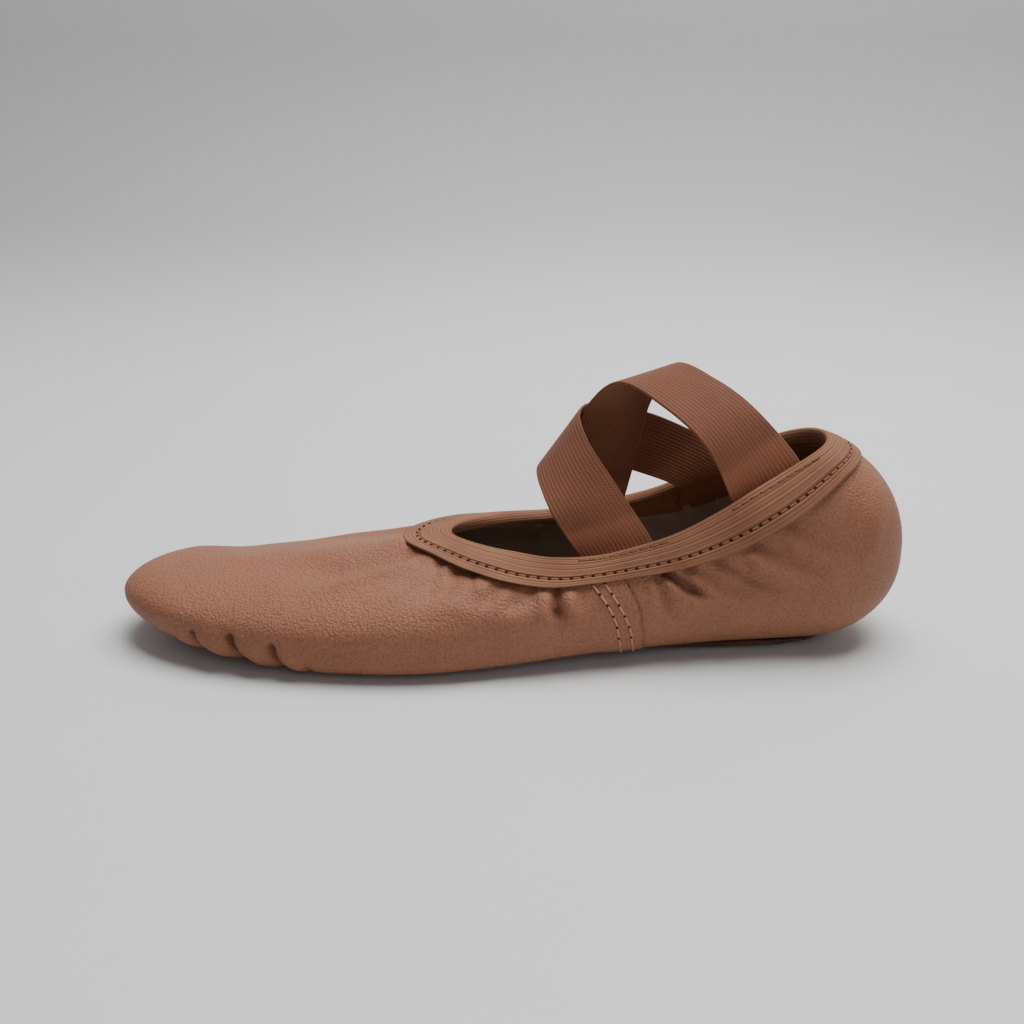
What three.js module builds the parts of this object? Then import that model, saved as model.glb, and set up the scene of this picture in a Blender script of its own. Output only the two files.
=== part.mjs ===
// Soft leather ballet slipper with two crossed elastics, in millimetres, +Z up.
// X runs from the toe (-) to the heel (+), Y across the shoe, and the floor is Z = 0.
import * as THREE from "three";

// Driving sizes of the shoe
const LENGTH = 230;
const BALL_WIDTH = 81;
const HEEL_HEIGHT = 60;
const TOE_TIP_HEIGHT = 14;
const HEEL_BULGE_HEIGHT = 26;

// How far each end takes to round off, in plan, over the top and underneath
const TOE_ROUND = { plan: 34, over: 19, under: 20 };
const HEEL_ROUND = { plan: 27, over: 40, under: 30 };

// Thickness of the materials and the gap left between neighbours
const LEATHER = 1.4;
const TAPE = 0.9;
const SUEDE = 1.6;
const SOCK = 1.4;
const ELASTIC = 1.0;
const ELASTIC_WIDTH = 20;
const GAP = 0.3;

// Share of the local half width, and distance in from each end, of the flat pieces
const OUTSOLE_EDGE = { share: 0.7, toe: 13, heel: 19 };
const INSOLE_EDGE = { share: 0.7, toe: 19, heel: 24 };
const OPENING_EDGE = { share: 0.5, toe: 26, heel: 28 };

// How finely the pieces are divided
const RIBS_PER_SIDE = 34;
const UNDER_ROWS = 6;
const WALL_ROWS = 9;
const COLLAR_ROWS = 2;
const SOLE_RINGS = 5;
const SOLE_SPOKES = 64;
const STRAP_STEPS = 40;
const CURVE_SAMPLES = 400;
const RAY_HALVINGS = 40;

// The top of the leather and the fold of the binding above it, as shares of the binding's height
const LEATHER_TOP = 0.8;
const FOLD_LEVEL = 0.86;
const FOLD_ROUND_LEVEL = 0.96;
// Ribs crowd toward the throat, where the collar is tightest
const RIB_CROWDING = 1.4;
// The ribs' inner points stay this far inside the two ends of the opening underneath
const MIDDLE_INSET = { toe: 12, heel: 8 };
// A triangle with less than this doubled area, in square millimetres, is left out
const NO_AREA = 1e-6;

// Sections of the last from toe to heel: half width as a share of half the ball width, the
// underside in mm, the widest line and the crown as shares of the heel height, and the
// squareness of the upper and lower halves of the section.
const SECTIONS = [
  { along: 0.0, width: 0.67, under: 7.0, widest: 0.235, crown: 0.355, upperSquare: 2.2, lowerSquare: 2.4 },
  { along: 0.09, width: 0.73, under: 4.0, widest: 0.215, crown: 0.355, upperSquare: 2.2, lowerSquare: 2.8 },
  { along: 0.16, width: 0.83, under: 2.2, widest: 0.2, crown: 0.375, upperSquare: 2.1, lowerSquare: 3.6 },
  { along: 0.24, width: 0.945, under: 1.5, widest: 0.195, crown: 0.405, upperSquare: 2.0, lowerSquare: 4.6 },
  { along: 0.33, width: 1.0, under: 1.4, widest: 0.195, crown: 0.447, upperSquare: 2.0, lowerSquare: 5.0 },
  { along: 0.4, width: 1.0, under: 1.5, widest: 0.2, crown: 0.485, upperSquare: 2.0, lowerSquare: 5.0 },
  { along: 0.48, width: 0.945, under: 2.0, widest: 0.215, crown: 0.515, upperSquare: 2.0, lowerSquare: 4.6 },
  { along: 0.57, width: 0.84, under: 2.4, widest: 0.24, crown: 0.56, upperSquare: 2.0, lowerSquare: 4.0 },
  { along: 0.65, width: 0.745, under: 2.2, widest: 0.275, crown: 0.69, upperSquare: 2.0, lowerSquare: 3.6 },
  { along: 0.74, width: 0.665, under: 1.6, widest: 0.315, crown: 0.85, upperSquare: 2.1, lowerSquare: 3.4 },
  { along: 0.82, width: 0.64, under: 1.4, widest: 0.353, crown: 0.985, upperSquare: 2.2, lowerSquare: 3.2 },
  { along: 0.91, width: 0.633, under: 1.5, widest: 0.395, crown: 1.035, upperSquare: 2.3, lowerSquare: 2.8 },
  { along: 1.0, width: 0.633, under: 1.6, widest: 0.433, crown: 1.045, upperSquare: 2.4, lowerSquare: 2.6 },
];

// Side view of the binding from throat to heel: heights of its lower and upper edge in mm
const COLLAR = [
  { along: 0.35, low: 27.8, top: 31.0 },
  { along: 0.4, low: 28.0, top: 29.8 },
  { along: 0.45, low: 26.6, top: 29.7 },
  { along: 0.5, low: 25.0, top: 29.6 },
  { along: 0.55, low: 24.0, top: 29.3 },
  { along: 0.6, low: 24.9, top: 30.5 },
  { along: 0.65, low: 26.3, top: 33.3 },
  { along: 0.7, low: 28.0, top: 37.0 },
  { along: 0.75, low: 31.0, top: 42.6 },
  { along: 0.8, low: 35.9, top: 49.4 },
  { along: 0.85, low: 42.8, top: 55.4 },
  { along: 0.9, low: 51.0, top: 59.6 },
  { along: 0.94, low: 55.0, top: 61.2 },
];

// Cross-section of the folded binding: level from its lower edge (0) to its upper edge (1),
// and distance out from the outer face of the leather.
const OUTSIDE = GAP + TAPE;
const INSIDE = -LEATHER - GAP - TAPE;
const BINDING_SECTION = [
  { level: 0.0, out: GAP },
  { level: 0.0, out: OUTSIDE },
  { level: LEATHER_TOP / 2, out: OUTSIDE },
  { level: LEATHER_TOP, out: OUTSIDE },
  { level: FOLD_ROUND_LEVEL, out: OUTSIDE - TAPE / 2 },
  { level: 1.0, out: -LEATHER / 2 },
  { level: FOLD_ROUND_LEVEL, out: INSIDE + TAPE / 2 },
  { level: LEATHER_TOP, out: INSIDE },
  { level: LEATHER_TOP / 2, out: INSIDE },
  { level: 0.0, out: INSIDE },
  { level: 0.0, out: -LEATHER - GAP },
  { level: LEATHER_TOP / 2, out: -LEATHER - GAP },
  { level: FOLD_LEVEL, out: -LEATHER - GAP },
  { level: FOLD_LEVEL, out: GAP },
  { level: LEATHER_TOP / 2, out: GAP },
];

// The elastics lie against the inner face of the binding at these levels of its height
const SEWN_LEVELS = [0.3, 0.65, 0.98];
const ELASTIC_OUT = INSIDE - GAP - ELASTIC / 2;

// Each elastic: where its two edges meet the collar at the near and far end, and the free
// bends between them with the middle of the ribbon and the direction across it.
const STRAP_FRONT = {
  near: { front: 20, back: 40 },
  far: { front: 53, back: 71 },
  bends: [
    { x: 21.0, y: -16.0, z: 44.0, acrossX: 0.9, acrossY: 0.2, acrossZ: 0.35 },
    { x: 15.5, y: -10.0, z: 52.5, acrossX: 0.62, acrossY: 0.3, acrossZ: 0.7 },
    { x: 14.0, y: 1.0, z: 57.5, acrossX: 0.6, acrossY: 0.05, acrossZ: 0.8 },
    { x: 21.0, y: 15.0, z: 57.5, acrossX: 0.45, acrossY: -0.2, acrossZ: 0.85 },
    { x: 41.0, y: 20.0, z: 52.0, acrossX: 0.6, acrossY: -0.05, acrossZ: 0.8 },
  ],
};
const STRAP_BACK = {
  near: { front: 62, back: 82 },
  far: { front: 15, back: 35 },
  bends: [
    { x: 61.0, y: -13.0, z: 64.0, acrossX: 0.74, acrossY: 0.5, acrossZ: 0.44 },
    { x: 50.5, y: -6.0, z: 72.5, acrossX: 0.78, acrossY: 0.55, acrossZ: 0.3 },
    { x: 39.0, y: 1.5, z: 77.0, acrossX: 0.88, acrossY: 0.42, acrossZ: 0.2 },
    { x: 32.0, y: 6.5, z: 67.5, acrossX: 0.94, acrossY: 0.3, acrossZ: 0.0 },
    { x: 28.0, y: 11.5, z: 50.0, acrossX: 0.98, acrossY: 0.1, acrossZ: -0.1 },
  ],
};

const FINISH = {
  leather: { color: 0xb98a72, roughness: 0.55, metalness: 0 },
  tape: { color: 0xb48c6c, roughness: 0.85, metalness: 0 },
  elastic: { color: 0xb0806a, roughness: 0.85, metalness: 0 },
  suede: { color: 0x4a3228, roughness: 0.95, metalness: 0 },
  cotton: { color: 0x9a948a, roughness: 0.95, metalness: 0 },
};

// Smooth value of one column of a table at a station along the shoe
function column(rows, name, along) {
  let i = 0;
  while (i < rows.length - 2 && along > rows[i + 1].along) i += 1;
  const slope = (j) => {
    const before = rows[Math.max(j - 1, 0)];
    const after = rows[Math.min(j + 1, rows.length - 1)];
    return (after[name] - before[name]) / (after.along - before.along);
  };
  const span = rows[i + 1].along - rows[i].along;
  const t = Math.min(Math.max((along - rows[i].along) / span, 0), 1);
  const s = t * t;
  const c = s * t;
  return (
    (2 * c - 3 * s + 1) * rows[i][name] +
    (c - 2 * s + t) * span * slope(i) +
    (3 * s - 2 * c) * rows[i + 1][name] +
    (c - s) * span * slope(i + 1)
  );
}

// Quarter-circle growth from 0 at the tip to 1 at the given reach
function rounding(distance, reach) {
  const t = Math.min(Math.max(distance / reach, 0), 1);
  return Math.sqrt(1 - (1 - t) * (1 - t));
}

// One cross-section of the last, grown outward by a distance
function section(x, grow) {
  const along = x / LENGTH + 0.5;
  const fromToe = x + LENGTH / 2 + grow;
  const fromHeel = LENGTH / 2 + grow - x;
  const value = (name) => column(SECTIONS, name, along);
  const round = (way) =>
    rounding(fromToe, TOE_ROUND[way] + grow) * rounding(fromHeel, HEEL_ROUND[way] + grow);
  const tip = along < 0.5 ? TOE_TIP_HEIGHT : HEEL_BULGE_HEIGHT;
  const widest = value("widest") * HEEL_HEIGHT;
  const crown = value("crown") * HEEL_HEIGHT + grow;
  const under = value("under") - grow;
  return {
    half: ((value("width") * BALL_WIDTH) / 2 + grow) * round("plan"),
    widest,
    crown: tip + (crown - tip) * round("over"),
    under: tip + (under - tip) * round("under"),
    upperSquare: value("upperSquare"),
    lowerSquare: value("lowerSquare"),
  };
}

// Half width of the grown last at a station and height
function halfWidth(x, z, grow) {
  const s = section(x, grow);
  const upper = z > s.widest;
  const square = upper ? s.upperSquare : s.lowerSquare;
  const reach = upper ? s.crown - s.widest : s.widest - s.under;
  const rise = Math.min(Math.abs(z - s.widest) / reach, 1);
  return s.half * (1 - rise ** square) ** (1 / square);
}

// Height of the underside of the grown last at a point in plan
function underside(x, y, grow) {
  const s = section(x, grow);
  const side = Math.min(Math.abs(y) / s.half, 1);
  return s.widest - (s.widest - s.under) * (1 - side ** s.lowerSquare) ** (1 / s.lowerSquare);
}

function isInside(p, grow) {
  if (Math.abs(p.x) >= LENGTH / 2 + grow) return false;
  const s = section(p.x, grow);
  const upper = p.z > s.widest;
  const square = upper ? s.upperSquare : s.lowerSquare;
  const reach = upper ? s.crown - s.widest : s.widest - s.under;
  return (Math.abs(p.y) / s.half) ** square + (Math.abs(p.z - s.widest) / reach) ** square < 1;
}

// Where a ray from inside the last leaves its grown surface
function castOut(from, toward, grow) {
  const direction = toward.clone().sub(from).normalize();
  let near = 0;
  let far = LENGTH;
  for (let i = 0; i < RAY_HALVINGS; i += 1) {
    const middle = (near + far) / 2;
    if (isInside(from.clone().addScaledVector(direction, middle), grow)) near = middle;
    else far = middle;
  }
  return from.clone().addScaledVector(direction, near);
}

// Points at even spacing along a curve, crowded by a power, from its first to its last point
function spread(points, count, crowding) {
  const reach = [0];
  for (let i = 1; i < points.length; i += 1) reach.push(reach[i - 1] + points[i].distanceTo(points[i - 1]));
  const total = reach[reach.length - 1];
  const picked = [];
  let i = 0;
  for (let k = 0; k <= count; k += 1) {
    const want = total * (k / count) ** crowding;
    while (i < points.length - 2 && reach[i + 1] < want) i += 1;
    const t = Math.min((want - reach[i]) / (reach[i + 1] - reach[i]), 1);
    picked.push(points[i].clone().lerp(points[i + 1], t));
  }
  return picked;
}

// Even samples from one end to the other, closer together at both ends
function easedSamples(start, end) {
  return Array.from({ length: CURVE_SAMPLES + 1 }, (_, i) => {
    const t = (1 - Math.cos((Math.PI * i) / CURVE_SAMPLES)) / 2;
    return start + (end - start) * t;
  });
}

// Widest line of one side, from the toe tip to the back of the heel
function widestLine() {
  return easedSamples(-LENGTH / 2, LENGTH / 2).map((x) => {
    const s = section(x, 0);
    return new THREE.Vector3(x, -s.half, s.widest);
  });
}

// One edge of the binding on one side, from the throat to the back of the heel
function collarEdge(edge) {
  const height = (x) => column(COLLAR, edge, x / LENGTH + 0.5);
  const isCut = (x) => height(x) < section(x, 0).crown;
  const first = (COLLAR[0].along - 0.5) * LENGTH;
  const last = (COLLAR[COLLAR.length - 1].along - 0.5) * LENGTH;
  const crossing = (outside, inside) => {
    let a = outside;
    let b = inside;
    for (let i = 0; i < RAY_HALVINGS; i += 1) {
      const middle = (a + b) / 2;
      if (isCut(middle)) b = middle;
      else a = middle;
    }
    return b;
  };
  const middle = (first + last) / 2;
  return easedSamples(crossing(first, middle), crossing(last, middle)).map(
    (x) => new THREE.Vector3(x, -halfWidth(x, height(x), 0), height(x)),
  );
}

// A flat piece's outline in plan: half width at a station, rounded off at both ends
function edgeHalf(edge, x) {
  const start = -LENGTH / 2 + edge.toe;
  const end = LENGTH / 2 - edge.heel;
  const share = rounding(x - start, TOE_ROUND.plan) * rounding(end - x, HEEL_ROUND.plan);
  return edge.share * ((column(SECTIONS, "width", x / LENGTH + 0.5) * BALL_WIDTH) / 2) * share;
}

// Ribs of the upper: on each, the edge of the opening underneath, the widest point, the two
// edges of the binding, and the points inside that rays start from below and at the collar.
function layOutRibs() {
  const widest = spread(widestLine(), RIBS_PER_SIDE, 1);
  const low = spread(collarEdge("low"), RIBS_PER_SIDE, RIB_CROWDING);
  const top = spread(collarEdge("top"), RIBS_PER_SIDE, RIB_CROWDING);
  const start = -LENGTH / 2 + OPENING_EDGE.toe;
  const end = LENGTH / 2 - OPENING_EDGE.heel;
  return widest.map((girth, k) => {
    const x = start + (end - start) * (girth.x / LENGTH + 0.5);
    const y = -edgeHalf(OPENING_EDGE, x);
    const seat = new THREE.Vector3(x, y, underside(x, y, 0));
    const between = (girth.x + low[k].x) / 2;
    const middleX = Math.min(Math.max(between, start + MIDDLE_INSET.toe), end - MIDDLE_INSET.heel);
    const middle = new THREE.Vector3(middleX, 0, section(middleX, 0).widest);
    const collarMiddle = new THREE.Vector3(low[k].x, 0, section(low[k].x, 0).widest);
    return { seat, girth, low: low[k], top: top[k], middle, collarMiddle };
  });
}

// All ribs round the shoe: the near side from toe to heel, then the far side back to the toe
function roundTheShoe(ribs, pointOf) {
  const near = ribs.map(pointOf);
  const mirror = (points) => points.map((p) => new THREE.Vector3(p.x, -p.y, p.z));
  const far = near.slice(1, -1).reverse().map(mirror);
  return [...near, ...far];
}

// A point of the upper's wall on a rib, at a row counted from the opening underneath
function wallPoint(rib, row, grow) {
  const wallRow = row - UNDER_ROWS;
  if (wallRow <= 0) return castOut(rib.middle, rib.seat.clone().lerp(rib.girth, row / UNDER_ROWS), grow);
  if (wallRow > WALL_ROWS) {
    return collarPoint(rib, (LEATHER_TOP * (wallRow - WALL_ROWS)) / COLLAR_ROWS, grow);
  }
  const share = wallRow / WALL_ROWS;
  const from = rib.middle.clone().lerp(rib.collarMiddle, share);
  return castOut(from, rib.girth.clone().lerp(rib.low, share), grow);
}

// A point of the collar on a rib, at a level between the two edges of the binding
function collarPoint(rib, level, grow) {
  return castOut(rib.collarMiddle, rib.low.clone().lerp(rib.top, level), grow);
}

// Collects triangles and leaves out those with no area
class Skin {
  constructor() {
    this.positions = [];
  }

  triangle(a, b, c) {
    const area = b.clone().sub(a).cross(c.clone().sub(a)).length();
    if (area > NO_AREA) this.positions.push(...a.toArray(), ...b.toArray(), ...c.toArray());
  }

  quad(a, b, c, d) {
    this.triangle(a, b, c);
    this.triangle(a, c, d);
  }

  geometry() {
    const geometry = new THREE.BufferGeometry();
    geometry.setAttribute("position", new THREE.Float32BufferAttribute(this.positions, 3));
    geometry.computeVertexNormals();
    return geometry;
  }
}

// A closed section carried round the shoe, rib by rib
function sweptRing(rings) {
  const skin = new Skin();
  rings.forEach((ring, r) => {
    const next = rings[(r + 1) % rings.length];
    ring.forEach((point, i) => {
      const j = (i + 1) % ring.length;
      skin.quad(point, next[i], next[j], ring[j]);
    });
  });
  return skin.geometry();
}

function upperGeometry(ribs) {
  const rows = UNDER_ROWS + WALL_ROWS + COLLAR_ROWS;
  const rowList = Array.from({ length: rows + 1 }, (_, row) => row);
  const wallSection = (rib) => [
    ...rowList.map((row) => wallPoint(rib, row, 0)),
    ...rowList.toReversed().map((row) => wallPoint(rib, row, -LEATHER)),
  ];
  return sweptRing(roundTheShoe(ribs, wallSection));
}

function bindingGeometry(ribs) {
  const tapeSection = (rib) =>
    BINDING_SECTION.map(({ level, out }) => collarPoint(rib, level, out));
  return sweptRing(roundTheShoe(ribs, tapeSection));
}

// A flat piece under or inside the foot: rings in from its outline, between two heights
function plateGeometry(edge, lower, upper) {
  const start = -LENGTH / 2 + edge.toe;
  const end = LENGTH / 2 - edge.heel;
  const centre = (start + end) / 2;
  const at = (spoke, share, height) => {
    const angle = (2 * Math.PI * spoke) / SOLE_SPOKES;
    const outlineX = centre - ((end - start) / 2) * Math.cos(angle);
    const outlineY = -Math.sign(Math.sin(angle)) * edgeHalf(edge, outlineX);
    const y = outlineY * share;
    return new THREE.Vector3(outlineX, y, height(outlineX, y));
  };
  const skin = new Skin();
  const shares = Array.from({ length: SOLE_RINGS + 1 }, (_, i) => i / SOLE_RINGS);
  for (let spoke = 0; spoke < SOLE_SPOKES; spoke += 1) {
    const next = spoke + 1;
    for (let i = 0; i < SOLE_RINGS; i += 1) {
      const [a, b] = [shares[i], shares[i + 1]];
      skin.quad(at(spoke, a, upper), at(spoke, b, upper), at(next, b, upper), at(next, a, upper));
      skin.quad(at(spoke, a, lower), at(next, a, lower), at(next, b, lower), at(spoke, b, lower));
    }
    skin.quad(at(spoke, 1, lower), at(next, 1, lower), at(next, 1, upper), at(spoke, 1, upper));
  }
  return skin.geometry();
}

// The two edges of an elastic where it lies against the inside of the binding
function sewnRow(end, side, level) {
  const at = (x) => {
    const along = x / LENGTH + 0.5;
    const low = column(COLLAR, "low", along);
    const z = low + (column(COLLAR, "top", along) - low) * level;
    const middle = new THREE.Vector3(x, 0, section(x, 0).widest);
    return castOut(middle, new THREE.Vector3(x, side * halfWidth(x, z, 0), z), ELASTIC_OUT);
  };
  return { front: at(end.front), back: at(end.back) };
}

// The two edges of an elastic at one of its free bends
function bendRow(bend) {
  const middle = new THREE.Vector3(bend.x, bend.y, bend.z);
  const half = new THREE.Vector3(bend.acrossX, bend.acrossY, bend.acrossZ).setLength(ELASTIC_WIDTH / 2);
  return { front: middle.clone().sub(half), back: middle.clone().add(half) };
}

// A flat ribbon between two edge curves, closed at both ends
function strapGeometry(strap) {
  const rows = [
    ...SEWN_LEVELS.map((level) => sewnRow(strap.near, -1, level)),
    ...strap.bends.map(bendRow),
    ...SEWN_LEVELS.toReversed().map((level) => sewnRow(strap.far, 1, level)),
  ];
  const edges = ["front", "back"].map((name) => new THREE.CatmullRomCurve3(rows.map((row) => row[name])));
  const corners = Array.from({ length: STRAP_STEPS + 1 }, (_, i) => {
    const t = i / STRAP_STEPS;
    const [front, back] = edges.map((edge) => edge.getPoint(t));
    const across = back.clone().sub(front);
    const [frontOut, backOut] = edges.map((edge) => edge.getTangent(t).cross(across).setLength(ELASTIC / 2));
    return [
      front.clone().add(frontOut),
      back.clone().add(backOut),
      back.clone().sub(backOut),
      front.clone().sub(frontOut),
    ];
  });
  const skin = new Skin();
  for (let i = 0; i < STRAP_STEPS; i += 1) {
    corners[i].forEach((corner, j) => {
      const k = (j + 1) % corners[i].length;
      skin.quad(corner, corners[i + 1][j], corners[i + 1][k], corners[i][k]);
    });
  }
  skin.quad(...corners[0]);
  skin.quad(...corners[STRAP_STEPS].toReversed());
  return skin.geometry();
}

function outsoleGeometry() {
  const upper = (x, y) => underside(x, y, GAP);
  const lower = (x, y) => Math.max(0, underside(x, y, GAP + SUEDE));
  return plateGeometry(OUTSOLE_EDGE, lower, upper);
}

function insoleGeometry() {
  const lower = (x, y) => underside(x, y, -LEATHER - GAP);
  const upper = (x, y) => underside(x, y, -LEATHER - GAP - SOCK);
  return plateGeometry(INSOLE_EDGE, lower, upper);
}

function piece(name, geometry, finish) {
  const mesh = new THREE.Mesh(geometry, new THREE.MeshStandardMaterial(finish));
  mesh.name = name;
  return mesh;
}

const ribs = layOutRibs();
const slipper = new THREE.Group();
slipper.name = "ballet_slipper";
slipper.add(
  piece("upper", upperGeometry(ribs), FINISH.leather),
  piece("binding", bindingGeometry(ribs), FINISH.tape),
  piece("outsole", outsoleGeometry(), FINISH.suede),
  piece("insole", insoleGeometry(), FINISH.cotton),
  piece("strap_front", strapGeometry(STRAP_FRONT), FINISH.elastic),
  piece("strap_back", strapGeometry(STRAP_BACK), FINISH.elastic),
);

export default slipper;
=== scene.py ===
"""Soft leather ballet slipper with two crossed elastics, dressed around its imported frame.

Sizes are in millimetres until a mesh is made. X runs from the toe (-) to the heel (+), the near
side is -Y, and the floor is Z = 0.
"""

import logging
import math
from dataclasses import dataclass, field
from enum import Enum
from typing import Any, NamedTuple, Sequence

import bmesh
import bpy
import numpy as np
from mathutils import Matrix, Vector

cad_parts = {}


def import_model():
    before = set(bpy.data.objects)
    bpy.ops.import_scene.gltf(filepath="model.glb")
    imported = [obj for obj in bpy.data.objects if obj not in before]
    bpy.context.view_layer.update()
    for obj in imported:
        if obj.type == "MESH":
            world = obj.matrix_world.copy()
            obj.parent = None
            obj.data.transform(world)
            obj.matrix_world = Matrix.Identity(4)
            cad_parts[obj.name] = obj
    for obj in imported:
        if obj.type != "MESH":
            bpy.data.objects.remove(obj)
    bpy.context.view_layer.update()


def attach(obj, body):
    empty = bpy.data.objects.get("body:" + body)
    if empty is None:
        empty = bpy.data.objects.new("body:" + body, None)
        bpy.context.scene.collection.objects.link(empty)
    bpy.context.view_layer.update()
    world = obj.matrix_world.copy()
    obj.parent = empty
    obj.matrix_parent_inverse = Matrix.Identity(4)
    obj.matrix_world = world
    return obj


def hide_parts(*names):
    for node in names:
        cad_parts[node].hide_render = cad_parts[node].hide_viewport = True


LOG = logging.getLogger("slipper")
MM = 0.001
ROOT = "root"
SMALL = 1e-6
SIDES = (-1.0, 1.0)
MIRROR = np.array((1.0, -1.0, 1.0))
RIB_POWER = 0.7
Array = np.ndarray
Tone = tuple[float, float, float]
Place = tuple[float, float, float]
Line = tuple[tuple[float, float], ...]


# The last that the shoe is built on

class Station(NamedTuple):
    """One cross-section of the last; widths and heights are shares of the shoe's own sizes."""

    along: float
    width: float
    under: float
    widest: float
    crown: float
    upper_square: float
    lower_square: float


class CollarStation(NamedTuple):
    """Heights in millimetres of the binding's two edges at a station along the shoe."""

    along: float
    low: float
    top: float


class Section(NamedTuple):
    """A cross-section of the last at one or many stations."""

    half: Array
    widest: Array
    crown: Array
    under: Array
    upper_square: Array
    lower_square: Array

    def part_at(self, z: Array) -> tuple[Array, Array]:
        """Squareness and height of the part, upper or lower, that a height lies in."""
        upper = np.asarray(z) > self.widest
        square = np.where(upper, self.upper_square, self.lower_square)
        return square, np.where(upper, self.crown - self.widest, self.widest - self.under)

    def side(self, y: Array) -> Array:
        """Share of the half width that a point lies out at, up to 1."""
        return np.minimum(np.abs(y) / np.maximum(self.half, SMALL), 1.0)


class EndRound(NamedTuple):
    """How far an end takes to round off, in plan, over the top and underneath."""

    plan: float
    over: float
    under: float


STATIONS = (
    Station(0.0, 0.67, 7.0, 0.235, 0.355, 2.2, 2.4),
    Station(0.09, 0.73, 4.0, 0.215, 0.355, 2.2, 2.8),
    Station(0.16, 0.83, 2.2, 0.2, 0.375, 2.1, 3.6),
    Station(0.24, 0.945, 1.5, 0.195, 0.405, 2.0, 4.6),
    Station(0.33, 1.0, 1.4, 0.195, 0.447, 2.0, 5.0),
    Station(0.4, 1.0, 1.5, 0.2, 0.485, 2.0, 5.0),
    Station(0.48, 0.945, 2.0, 0.215, 0.515, 2.0, 4.6),
    Station(0.57, 0.84, 2.4, 0.24, 0.56, 2.0, 4.0),
    Station(0.65, 0.745, 2.2, 0.275, 0.69, 2.0, 3.6),
    Station(0.74, 0.665, 1.6, 0.315, 0.85, 2.1, 3.4),
    Station(0.82, 0.64, 1.4, 0.353, 0.985, 2.2, 3.2),
    Station(0.91, 0.633, 1.5, 0.395, 1.035, 2.3, 2.8),
    Station(1.0, 0.633, 1.6, 0.433, 1.045, 2.4, 2.6),
)

COLLAR_STATIONS = (
    CollarStation(0.35, 27.8, 31.0),
    CollarStation(0.4, 28.0, 29.8),
    CollarStation(0.45, 26.6, 29.7),
    CollarStation(0.5, 25.0, 29.6),
    CollarStation(0.55, 24.0, 29.3),
    CollarStation(0.6, 24.9, 30.5),
    CollarStation(0.65, 26.3, 33.3),
    CollarStation(0.7, 28.0, 37.0),
    CollarStation(0.75, 31.0, 42.6),
    CollarStation(0.8, 35.9, 49.4),
    CollarStation(0.85, 42.8, 55.4),
    CollarStation(0.9, 51.0, 59.6),
    CollarStation(0.94, 55.0, 61.2),
)


def column(rows: Sequence[Any], name: str, along: Array) -> Array:
    """Smooth value of one column of a table.

    Args:
        rows: the table, ordered by its along column.
        name: the column to read.
        along: where to read it.

    Returns:
        The value at each place asked for.
    """
    places = np.array([row.along for row in rows])
    values = np.array([getattr(row, name) for row in rows])
    count = len(rows)
    before = np.maximum(np.arange(count) - 1, 0)
    after = np.minimum(np.arange(count) + 1, count - 1)
    slopes = (values[after] - values[before]) / (places[after] - places[before])
    along = np.asarray(along, float)
    i = np.clip(np.searchsorted(places, along) - 1, 0, count - 2)
    span = places[i + 1] - places[i]
    t = np.clip((along - places[i]) / span, 0.0, 1.0)
    s = t * t
    c = s * t
    start = (2 * c - 3 * s + 1) * values[i] + (c - 2 * s + t) * span * slopes[i]
    return start + (3 * s - 2 * c) * values[i + 1] + (c - s) * span * slopes[i + 1]


def rounding(distance: Array, reach: Array) -> Array:
    """Quarter-circle growth from 0 at the tip to 1 at the given reach."""
    t = np.clip(distance / reach, 0.0, 1.0)
    return np.sqrt(1.0 - (1.0 - t) ** 2)


def smooth(value: Array) -> Array:
    """Ease from 0 to 1 as the value goes from 0 to 1."""
    t = np.clip(value, 0.0, 1.0)
    return t * t * (3.0 - 2.0 * t)


def bell(distance: Array, width: float) -> Array:
    """Bell-shaped share that is 1 at no distance and fades over a width."""
    return np.exp(-((distance / width) ** 2))


def bulge(side: Array, square: Array) -> Array:
    """Height of a squared arc, from 1 at its middle to 0 at its side."""
    return (1.0 - side**square) ** (1.0 / square)


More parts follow.
